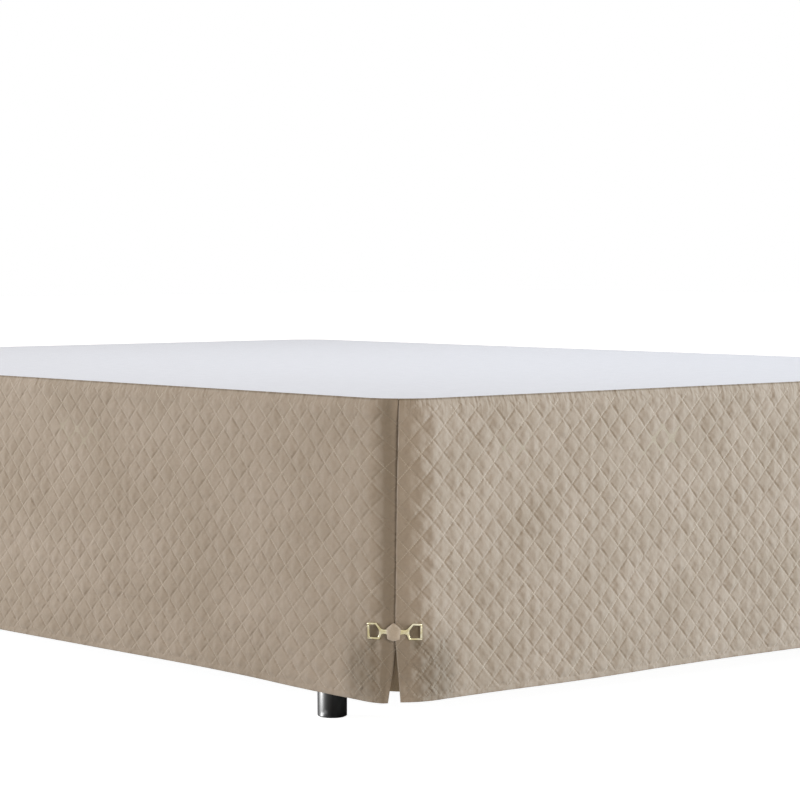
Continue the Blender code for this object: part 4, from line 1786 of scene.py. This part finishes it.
@dataclass
class BedBase:
    """The upholstered box base."""

    rim_rounding: float = 0.003
    rim_segments: int = 4
    corner_segments: int = 16
    cord_radius: float = 0.0020
    cord_sides: int = 12
    cord_inset: float = 0.0009
    cord_from_rim: float = 0.0045
    wrap: float = 0.014  # how far the cover turns in under the base
    recess: float = 0.0008

    def outline(self, offset: float, z: float) -> list[Vector]:
        """Points of the base's rounded outline.

        Args:
            offset: How far it is moved outwards.
            z: Its height.

        Returns:
            The points, counter-clockwise.
        """
        radius = BED.corner_radius + offset
        points = []
        for quarter, sides in enumerate(((1, 1), (-1, 1), (-1, -1), (1, -1))):
            for step in range(self.corner_segments + 1):
                angle = (quarter + step / self.corner_segments) * RIGHT_ANGLE
                points.append(BED.corner(*sides) + radius * direction(angle) + Vector((0, 0, z)))
        return points

    def box(self) -> BMesh:
        """Shape the box, its underside stepped in where the cover ends.

        Returns:
            Its mesh, the dust cloth in the second slot.
        """
        bm = bmesh.new()
        size = (BED.width, BED.length, BED.base_height)
        middle = BED.base_top - BED.base_height / 2
        box = Matrix.Translation((0.0, 0.0, middle)) @ Matrix.Diagonal((*size, 1.0))
        bmesh.ops.create_cube(bm, size=1.0, matrix=box)
        upright = [e for e in bm.edges if abs(e.verts[0].co.z - e.verts[1].co.z) > 0.1]
        round_edges(bm, upright, BED.corner_radius, self.corner_segments)
        round_edges(bm, level_edges(bm), self.rim_rounding, self.rim_segments)
        bm.normal_update()
        under = [f for f in bm.faces if f.normal.z < -0.9 and len(f.verts) > 4]
        bmesh.ops.inset_region(bm, faces=under, thickness=self.wrap, use_even_offset=True)
        step = bmesh.ops.extrude_face_region(bm, geom=under)["geom"]
        bmesh.ops.delete(bm, geom=[f for f in under if f.is_valid], context="FACES")
        bmesh.ops.translate(bm, verts=moved_verts(step), vec=(0.0, 0.0, self.recess))
        for face in (item for item in step if isinstance(item, BMFace)):
            face.material_index = 1
        close_outwards(bm)
        return bm

    def build(self, finishes: Finishes) -> list[Piece]:
        """Make the covered box with its dust cloth, and its two piped seams.

        Args:
            finishes: The part's finishes.

        Returns:
            The box and the two cords.
        """
        cover = (finishes.cover, finishes.dust_cloth)
        body = make_piece("base_body", self.box(), cover, ("bed_base",), sharp_angle=35)
        self.write_cover_map(body.data)
        pieces = [body]
        for word, z in (
            ("upper", BED.base_top - self.cord_from_rim),
            ("lower", BED.base_bottom + self.cord_from_rim),
        ):
            path = self.outline(-self.cord_inset, z)
            cord = tube_bmesh(path, self.cord_radius, self.cord_sides, True)
            name, cloth = f"base_piping_{word}", (finishes.cover_cord,)
            pieces.append(make_piece(name, cord, cloth, sharp_angle=60))
        return pieces

    @staticmethod
    def write_cover_map(mesh: bpy.types.Mesh) -> None:
        """Map the cover in metres: round the sides by height, and the top and underside flat.

        Args:
            mesh: The box.
        """
        layer = mesh.uv_layers.new(name="cloth")
        for face in mesh.polygons:
            for corner in face.loop_indices:
                x, y, z = mesh.vertices[mesh.loops[corner].vertex_index].co
                if abs(face.normal.z) > 0.7:
                    layer.data[corner].uv = (x, y)
                elif abs(face.normal.x) > abs(face.normal.y):
                    layer.data[corner].uv = (y, z)
                else:
                    layer.data[corner].uv = (x, z)


@dataclass
class Leg:
    """One round enamelled leg, its flange under the base and its plastic foot pad."""

    number: int
    x: float
    y: float
    radius: float = 0.0185
    rim_rounding: float = 0.0015
    rim_segments: int = 4
    sides: int = 64
    pad_radius: float = 0.0160
    pad_height: float = 0.0007
    pad_sink: float = 0.0020  # how far the pad reaches up into the tube
    pad_rounding: float = 0.0003
    flange_radius: float = 0.034
    flange_thickness: float = 0.0020
    flange_rounding: float = 0.0006
    screw_radius: float = 0.0032
    screw_flatness: float = 0.4
    screw_angle: float = 0.5
    screws: int = 3

    def cylinder(self, radius: float, low: float, high: float, rounding: float) -> BMesh:
        """A round upright solid with rounded rims.

        Args:
            radius: Its radius.
            low: Height of its underside.
            high: Height of its top.
            rounding: Radius of its rims.

        Returns:
            Its mesh, at the leg's place.
        """
        bm = bmesh.new()
        place = Matrix.Translation((self.x, self.y, (low + high) / 2))
        shape = {"segments": self.sides, "radius1": radius, "radius2": radius, "depth": high - low}
        bmesh.ops.create_cone(bm, cap_ends=True, matrix=place, **shape)
        round_edges(bm, level_edges(bm), rounding, self.rim_segments)
        return bm

    def flange(self, top: float) -> BMesh:
        """The disc that holds the leg to the base, with its screw heads.

        Args:
            top: Height of its upper face.

        Returns:
            Its mesh.
        """
        under = top - self.flange_thickness
        bm = self.cylinder(self.flange_radius, under, top, self.flange_rounding)
        for turn in range(self.screws):
            angle = turn * math.tau / self.screws + self.screw_angle
            spot = direction(angle) * (self.radius + self.flange_radius) / 2
            place = Matrix.Translation((self.x + spot.x, self.y + spot.y, under))
            head = place @ Matrix.Diagonal((1.0, 1.0, self.screw_flatness, 1.0))
            shape = {"u_segments": 16, "v_segments": 8, "radius": self.screw_radius}
            bmesh.ops.create_uvsphere(bm, matrix=head, **shape)
        return bm

    def build(self, finishes: Finishes) -> list[Piece]:
        """Make the tube, the pad and the flange.

        Args:
            finishes: The part's finishes.

        Returns:
            The three pieces, the tube first.
        """
        top = BED.base_bottom - BED.seam_gap
        tube = self.cylinder(self.radius, self.pad_height, top, self.rim_rounding)
        pad_top = self.pad_height + self.pad_sink
        pad = self.cylinder(self.pad_radius, 0.0, pad_top, self.pad_rounding)
        kinds = (
            ("tube", tube, finishes.enamel, (f"leg_{self.number}",)),
            ("pad", pad, finishes.pad, ()),
            ("flange", self.flange(top), finishes.enamel, ()),
        )
        pieces = []
        for kind, bm, finish, nodes in kinds:
            name = f"leg_{kind}_{self.number}"
            pieces.append(make_piece(name, bm, (finish,), nodes, sharp_angle=40))
        return pieces


def bed_legs(
    side_inset: float = 0.057, middle_inset: float = 0.345, end_inset: float = 0.193
) -> list[Leg]:
    """The six legs: one near each corner, and two between them nearer the middle.

    Args:
        side_inset: From the axis of a corner leg to the long side.
        middle_inset: The same for the two between.
        end_inset: From the axis of a corner leg to the head or foot.

    Returns:
        The legs, foot end first.
    """
    legs = []
    for row in (-1, 0, 1):
        inset = side_inset if row else middle_inset
        for side in (-1, 1):
            x = side * (BED.width / 2 - inset)
            legs.append(Leg(len(legs) + 1, x, row * (BED.length / 2 - end_inset)))
    return legs


# ---- Buckle ----

# Outlines in millimetres from the buckle's middle, across and up: the upper half of its face
# from the middle outwards, then the lower half back, the hole in that end, and the boss.
HALF_FACE = (
    (0.0, 3.1), (8.0, 3.1), (12.0, 2.5), (15.5, 3.4), (22.0, 10.2), (33.6, 9.7),
    (33.6, -9.7), (17.5, -9.7), (15.0, -3.4), (12.0, -2.5), (8.0, -3.1), (0.0, -3.1),
)  # fmt: skip
FRAME_HOLE = ((18.4, 1.8), (23.0, 7.8), (31.0, 7.3), (31.0, -7.3), (19.5, -7.3), (18.0, -1.8))
BOSS_FACE = ((0.0, 11.0), (8.2, 4.4), (7.2, -8.4), (0.0, -10.8), (-7.2, -8.4), (-8.2, 4.4))


@dataclass
class Buckle:
    """The pale gold buckle across one slit, with its cloth-covered boss."""

    side: Side
    above_hem: float = 0.084
    thickness: float = 0.0022
    sink: float = 0.0007
    bend_from: float = 0.006
    bend_to: float = 0.010
    foot_bend: float = math.radians(14)
    side_bend: float = math.radians(16.5)
    turn: float = math.radians(5.5)  # its middle sits this far round the corner from the slit
    edge_rounding: float = 0.00095
    rounding_segments: int = 4
    rim_angle: float = 0.6  # edges that turn by more than this are rounded
    bend_cuts: tuple[float, ...] = (6.0, 7.0, 8.0, 9.0, 10.0, 14.0)  # in millimetres
    boss_edge: float = 0.9  # in millimetres
    boss_steps: tuple[Pair, ...] = (
        (0.25, 0.75), (0.45, 0.65), (0.9, 0.75), (1.4, 0.55), (2.0, 0.30),
    )  # how far each step of its crown goes in and up, in millimetres  # fmt: skip
    thread_radius: float = 0.00028
    thread_sides: int = 8
    thread_steps: int = 16
    # A bar of thread round the outer bar, in millimetres: its middle, its half size and its lean.
    thread_middle: Pair = (32.3, 1.1)
    thread_half_size: Pair = (2.1, 1.75)
    thread_lean: float = 0.25
    thread_heights: Pair = (-7.4, 7.4)

    @property
    def back_radius(self) -> float:
        """Distance from the corner's axis to the buckle's back.

        Returns:
            The distance, to where its frames press into the quilting.
        """
        relief = QuiltRelief()
        chord = BED.turn_radius * (1 / math.cos(BED.half_diamond / BED.turn_radius / 2) - 1)
        cloth = relief.stitch_thickness + relief.puff
        return BED.turn_radius + chord + cloth - self.sink

    def closed_loop(self, bm: BMesh, points: Iterable[Pair]) -> list[BMEdge]:
        """The edges of a closed outline through points in millimetres."""
        verts = [bm.verts.new((x * MM, y * MM, 0.0)) for x, y in points]
        return [bm.edges.new(pair) for pair in zip(verts, verts[1:] + verts[:1])]

    def bend(self, point: Vector) -> Vector:
        """Bend an end of the flat casting back, so that it lies along its panel.

        Args:
            point: A point of the flat casting: across, up and outwards.

        Returns:
            The same point of the bent one.
        """
        if abs(point.x) <= self.bend_from:
            return point
        end = math.copysign(1.0, point.x)
        bend = self.side_bend if end == self.side.value else self.foot_bend
        radius = (self.bend_to - self.bend_from) / bend
        turned = bend * min(1.0, (abs(point.x) - self.bend_from) / (self.bend_to - self.bend_from))
        beyond = max(0.0, abs(point.x) - self.bend_to)
        across = self.bend_from + radius * math.sin(turned) + beyond * math.cos(turned)
        back = radius * (1 - math.cos(turned)) + beyond * math.sin(turned)
        across += point.z * math.sin(turned)
        return Vector((end * across, point.y, point.z * math.cos(turned) - back))

    def set_on_corner(self, bm: BMesh, lift: float) -> None:
        """Bend a flat piece, and set it on the corner at the buckle's height.

        Args:
            bm: The piece: across, up and outwards.
            lift: Distance of its back from the corner's axis.
        """
        centre = self.side.foot_corner
        middle = self.side.corner_angle + self.side.value * self.turn
        outward, across = direction(middle), direction(middle + RIGHT_ANGLE)
        height = BED.hem_clearance + self.above_hem
        for vertex in bm.verts:
            x, y, z = self.bend(vertex.co)
            level = centre + across * x + outward * (lift + z)
            vertex.co = Vector((level.x, level.y, height + y))

    def build_casting(self, finishes: Finishes) -> Piece:
        """Make the casting: two stirrup-shaped ends and the bar between them.

        Args:
            finishes: The part's finishes.

        Returns:
            The casting.
        """
        bm = bmesh.new()
        mirrored = [(-x, y) for x, y in reversed(HALF_FACE[1:-1])]
        self.closed_loop(bm, [*HALF_FACE, *mirrored])
        self.closed_loop(bm, FRAME_HOLE)
        self.closed_loop(bm, [(-x, y) for x, y in FRAME_HOLE])
        bmesh.ops.triangle_fill(bm, use_beauty=True, use_dissolve=False, edges=bm.edges[:])
        raised = bmesh.ops.extrude_face_region(bm, geom=bm.faces[:])["geom"]
        bmesh.ops.translate(bm, verts=moved_verts(raised), vec=(0.0, 0.0, self.thickness))
        close_outwards(bm)
        pairs = [e for e in bm.edges if len(e.link_faces) == 2]
        rims = [e for e in pairs if e.calc_face_angle() > self.rim_angle]
        round_edges(bm, rims, self.edge_rounding, self.rounding_segments, clamp=True)
        for place in self.bend_cuts:
            for end in (-1, 1):
                bmesh.ops.bisect_plane(
                    bm,
                    geom=bm.verts[:] + bm.edges[:] + bm.faces[:],
                    plane_co=(end * place * MM, 0.0, 0.0),
                    plane_no=(1.0, 0.0, 0.0),
                )
        self.set_on_corner(bm, self.back_radius)
        close_outwards(bm)
        name, node = f"buckle_casting_{self.side.word}", f"buckle_{self.side.word}"
        return make_piece(name, bm, (finishes.gold,), (node,), sharp_angle=32)

    def build_boss(self, finishes: Finishes) -> Piece:
        """Make the boss: cloth drawn over a six-sided crowned pad.

        Args:
            finishes: The part's finishes.

        Returns:
            The boss.
        """
        bm = bmesh.new()
        edges = self.closed_loop(bm, BOSS_FACE)
        face = bmesh.ops.contextual_create(bm, geom=edges)["faces"][0]
        raised = bmesh.ops.extrude_face_region(bm, geom=[face])["geom"]
        bmesh.ops.translate(bm, verts=moved_verts(raised), vec=(0.0, 0.0, self.boss_edge * MM))
        crown = [item for item in raised if isinstance(item, BMFace)]
        for inset, rise in self.boss_steps:
            bmesh.ops.inset_region(bm, faces=crown, thickness=inset * MM, use_even_offset=True)
            bmesh.ops.translate(bm, verts=crown[0].verts[:], vec=(0.0, 0.0, rise * MM))
        bmesh.ops.poke(bm, faces=crown)
        close_outwards(bm)
        bmesh.ops.subdivide_edges(bm, edges=bm.edges[:], cuts=2, use_grid_fill=True, smooth=0.10)
        self.set_on_corner(bm, self.back_radius + self.thickness + BED.seam_gap)
        close_outwards(bm)
        name, node = f"boss_pad_{self.side.word}", f"buckle_boss_{self.side.word}"
        cloth = (finishes.boss_cloth,)
        piece = make_piece(name, bm, cloth, (node,), sharp_angle=60)
        return piece

    def build_threads(self, finishes: Finishes) -> Piece:
        """Make the thread bars that sew the casting's outer bars to the panels.

        Args:
            finishes: The part's finishes.

        Returns:
            All the bars of this buckle, as one piece.
        """
        bm = bmesh.new()
        middle, height = self.thread_middle
        wide, high = self.thread_half_size
        for end in (-1, 1):
            for up in self.thread_heights:
                loop = []
                for step in range(self.thread_steps):
                    angle = step / self.thread_steps * math.tau
                    x = (middle + wide * math.cos(angle)) * MM * end
                    y = (up + self.thread_lean * math.cos(angle)) * MM
                    loop.append(Vector((x, y, (height + high * math.sin(angle)) * MM)))
                strand = tube_bmesh(loop, self.thread_radius, self.thread_sides, True)
                mesh = bpy.data.meshes.new("strand")
                strand.to_mesh(mesh)
                strand.free()
                bm.from_mesh(mesh)
                bpy.data.meshes.remove(mesh)
        self.set_on_corner(bm, self.back_radius)
        name, threads = f"buckle_thread_{self.side.word}", (finishes.thread,)
        return make_piece(name, bm, threads, sharp_angle=60)

    def build(self, finishes: Finishes) -> list[Piece]:
        """Make the casting, its boss and its thread."""
        makers = (self.build_casting, self.build_boss, self.build_threads)
        return [make(finishes) for make in makers]


# ---- Studio ----


@dataclass(frozen=True)
class Softbox:
    """One large soft lamp."""

    name: str
    place: tuple[float, float, float]
    aim: tuple[float, float, float]
    size: float
    power: float  # in watts
    tint: str

    def build(self) -> bpy.types.Object:
        """Hang the lamp.

        Returns:
            The lamp, which the camera doesn't see.
        """
        lamp = bpy.data.lights.new(self.name, "AREA")
        lamp.size = self.size
        lamp.energy = self.power
        lamp.color = hex_colour(self.tint)[:3]
        holder = bpy.data.objects.new(self.name, lamp)
        holder.location = self.place
        away = Vector(self.place) - Vector(self.aim)
        holder.rotation_euler = away.to_track_quat("Z", "Y").to_euler()
        holder.visible_camera = False
        bpy.context.scene.collection.objects.link(holder)
        return holder


SOFTBOXES = (
    Softbox("key_softbox", (4.8, -3.9, 1.8), (-0.2, -0.9, 0.2), 1.9, 398.0, "#D6EAFF"),
    Softbox("fill_softbox", (-3.9, 3.0, 0.85), (-0.7, -0.3, 0.2), 1.6, 162.0, "#EEF5FF"),
    Softbox("front_softbox", (-1.7, -5.9, 1.1), (-0.6, -0.9, 0.2), 1.5, 70.0, "#F8F2EA"),
    Softbox("top_softbox", (0.0, 0.0, 2.6), (0.0, 0.0, 0.4), 1.2, 17.0, "#F4F6FC"),
)
LEG_STRIP = Softbox("leg_strip", (-2.3, 0.69, 0.16), (-0.63, -0.75, 0.02), 0.30, 860.0, "#FFFFFF")
WHITE = hex_colour("#FFFFFF")


@dataclass
class Studio:
    """A white floor under a white sky, broad soft lamps and the camera."""

    sky: float = 0.435  # its strength as a light, where it looks white
    sky_tint: str = "#FFF2E4"
    floor_paint: str = "#DADAD9"
    floor_glow: float = 0.95
    floor_mirrored: float = 0.25  # share of the glow that glossy things mirror
    clear_of_bed: float = 0.08  # beside the bed, where that share starts to show
    floor_size: float = 60.0
    lens: float = 120.41
    sensor_width: float = 36.0
    clip: Pair = (0.1, 100.0)
    azimuth: float = math.radians(-40.74)
    pitch: float = math.radians(3.033)
    corner: tuple[float, float, float] = (-0.7015, -0.9515, 0.0)  # that the camera faces
    distance: float = 3.116
    aside: float = 0.003  # of the corner, to its right
    eye_height: float = 0.5708

    def floor_material(self) -> Material:
        """Mix a floor that looks white, and darker as a light near the bed.

        Returns:
            The material.
        """
        surface = Surface("matt_white_floor_paint")
        add = surface.add
        camera = add("LightPath", output="Is Camera Ray")
        glossy = camera.node.outputs["Is Glossy Ray"]
        across = add("SeparateXYZ", (surface.place(),))
        along = across.node.outputs[1]
        past = []
        for place, half in ((across, BED.width / 2), (along, BED.length / 2)):
            away = add("Math", (place,), operation="ABSOLUTE")
            past.append(add("Math", (away, half), operation="SUBTRACT"))
        clear = add("Math", past, operation="MAXIMUM")
        clear = add("MapRange", (clear, 0.0, self.clear_of_bed, 0.0, 1.0), **SMOOTH)
        mirrored = add("Math", (glossy, clear), **TIMES)
        mirrored = add("Math", (mirrored, self.floor_mirrored), **TIMES)
        seen = add("Math", (camera, mirrored), operation="MAXIMUM")
        surface.set(
            Base_Color=hex_colour(self.floor_paint),
            Roughness=0.9,
            Specular_IOR_Level=0.1,
            Emission_Color=WHITE,
            Emission_Strength=add("Math", (seen, self.floor_glow), **TIMES),
        )
        return surface.material

    def build_floor(self) -> None:
        """Lay the floor."""
        bm = bmesh.new()
        bmesh.ops.create_grid(bm, x_segments=1, y_segments=1, size=self.floor_size / 2)
        mesh = bpy.data.meshes.new("floor")
        bm.to_mesh(mesh)
        bm.free()
        mesh.materials.append(self.floor_material())
        floor = bpy.data.objects.new("floor", mesh)
        bpy.context.scene.collection.objects.link(floor)
        floor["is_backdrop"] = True

    def build_sky(self) -> None:
        """Hang a white sky that is dimmer and warmer as a light than it looks."""
        world = bpy.data.worlds.new("studio_sky")
        world.use_nodes = True
        graph = NodeGraph(world.node_tree)
        camera = graph.add("LightPath", output="Is Camera Ray")
        rays = (camera, camera.node.outputs["Is Glossy Ray"])
        seen = graph.add("Math", rays, operation="MAXIMUM")
        strength = graph.add("Math", (seen, 1.0 - self.sky, self.sky), **TIMES_PLUS)
        tint = graph.add("Mix", {0: seen, 6: hex_colour(self.sky_tint), 7: WHITE}, 2, **COLOURS)
        background = graph.tree.nodes["Background"]
        graph.tree.links.new(tint, background.inputs["Color"])
        graph.tree.links.new(strength, background.inputs["Strength"])
        bpy.context.scene.world = world

    def light_legs(self, tubes: Iterable[Piece]) -> None:
        """Add a low strip lamp that draws a highlight down the legs, and lights them alone.

        Args:
            tubes: The tubes of the legs.
        """
        strip = LEG_STRIP.build()
        strip.visible_diffuse = False
        lit = bpy.data.collections.new("leg_tubes")
        for tube in tubes:
            lit.objects.link(tube)
        strip.light_linking.receiver_collection = lit

    def build_camera(self) -> None:
        """Stand the camera off the foot corner, and look at it."""
        back = Vector((math.sin(self.azimuth), -math.cos(self.azimuth), 0.0))
        right = Vector((math.cos(self.azimuth), math.sin(self.azimuth), 0.0))
        lens = bpy.data.cameras.new("camera")
        lens.lens = self.lens
        lens.sensor_width = self.sensor_width
        lens.clip_start, lens.clip_end = self.clip
        camera = bpy.data.objects.new("camera", lens)
        camera.location = Vector(self.corner) + self.distance * back + self.aside * right
        camera.location.z = self.eye_height
        camera.rotation_euler = (RIGHT_ANGLE - self.pitch, 0.0, self.azimuth)
        bpy.context.scene.collection.objects.link(camera)
        bpy.context.scene.camera = camera

    def build(self) -> None:
        """Set up the floor, the sky, the lamps and the camera."""
        self.build_floor()
        self.build_sky()
        for softbox in SOFTBOXES:
            softbox.build()
        self.build_camera()
        bpy.context.scene.view_settings.view_transform = "Standard"


# ---- The whole part ----


def write_sizes() -> None:
    """Work out the box of the solids and the box of the finished pieces, as plain lists."""
    boxes = {"cad": CAD_BOX, "visual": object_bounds()}
    plain = {name: [[float(x) for x in corner] for corner in box] for name, box in boxes.items()}


def report(pieces: Iterable[Piece]) -> None:
    """Log each finished piece."""
    for piece in pieces:
        LOG.info("%s: %d faces", piece.name, len(piece.data.polygons))


def main() -> None:
    """Build every sub-assembly in order, and report its pieces."""
    logging.basicConfig(level=logging.INFO, format="%(name)s: %(message)s")
    studio = Studio()
    studio.build()
    finishes = Finishes.make()
    report(BedBase().build(finishes))
    legs = [leg.build(finishes) for leg in bed_legs()]
    for leg_pieces in legs:
        report(leg_pieces)
    studio.light_legs(leg_pieces[0] for leg_pieces in legs)
    report(DeckSheet().build(finishes))
    for panel in skirt_panels():
        report(panel.build(finishes))
    for side in Side:
        report(CornerUnderlay(side).build(finishes))
        report(Buckle(side).build(finishes))
    write_sizes()


if __name__ == "__main__":
    main()
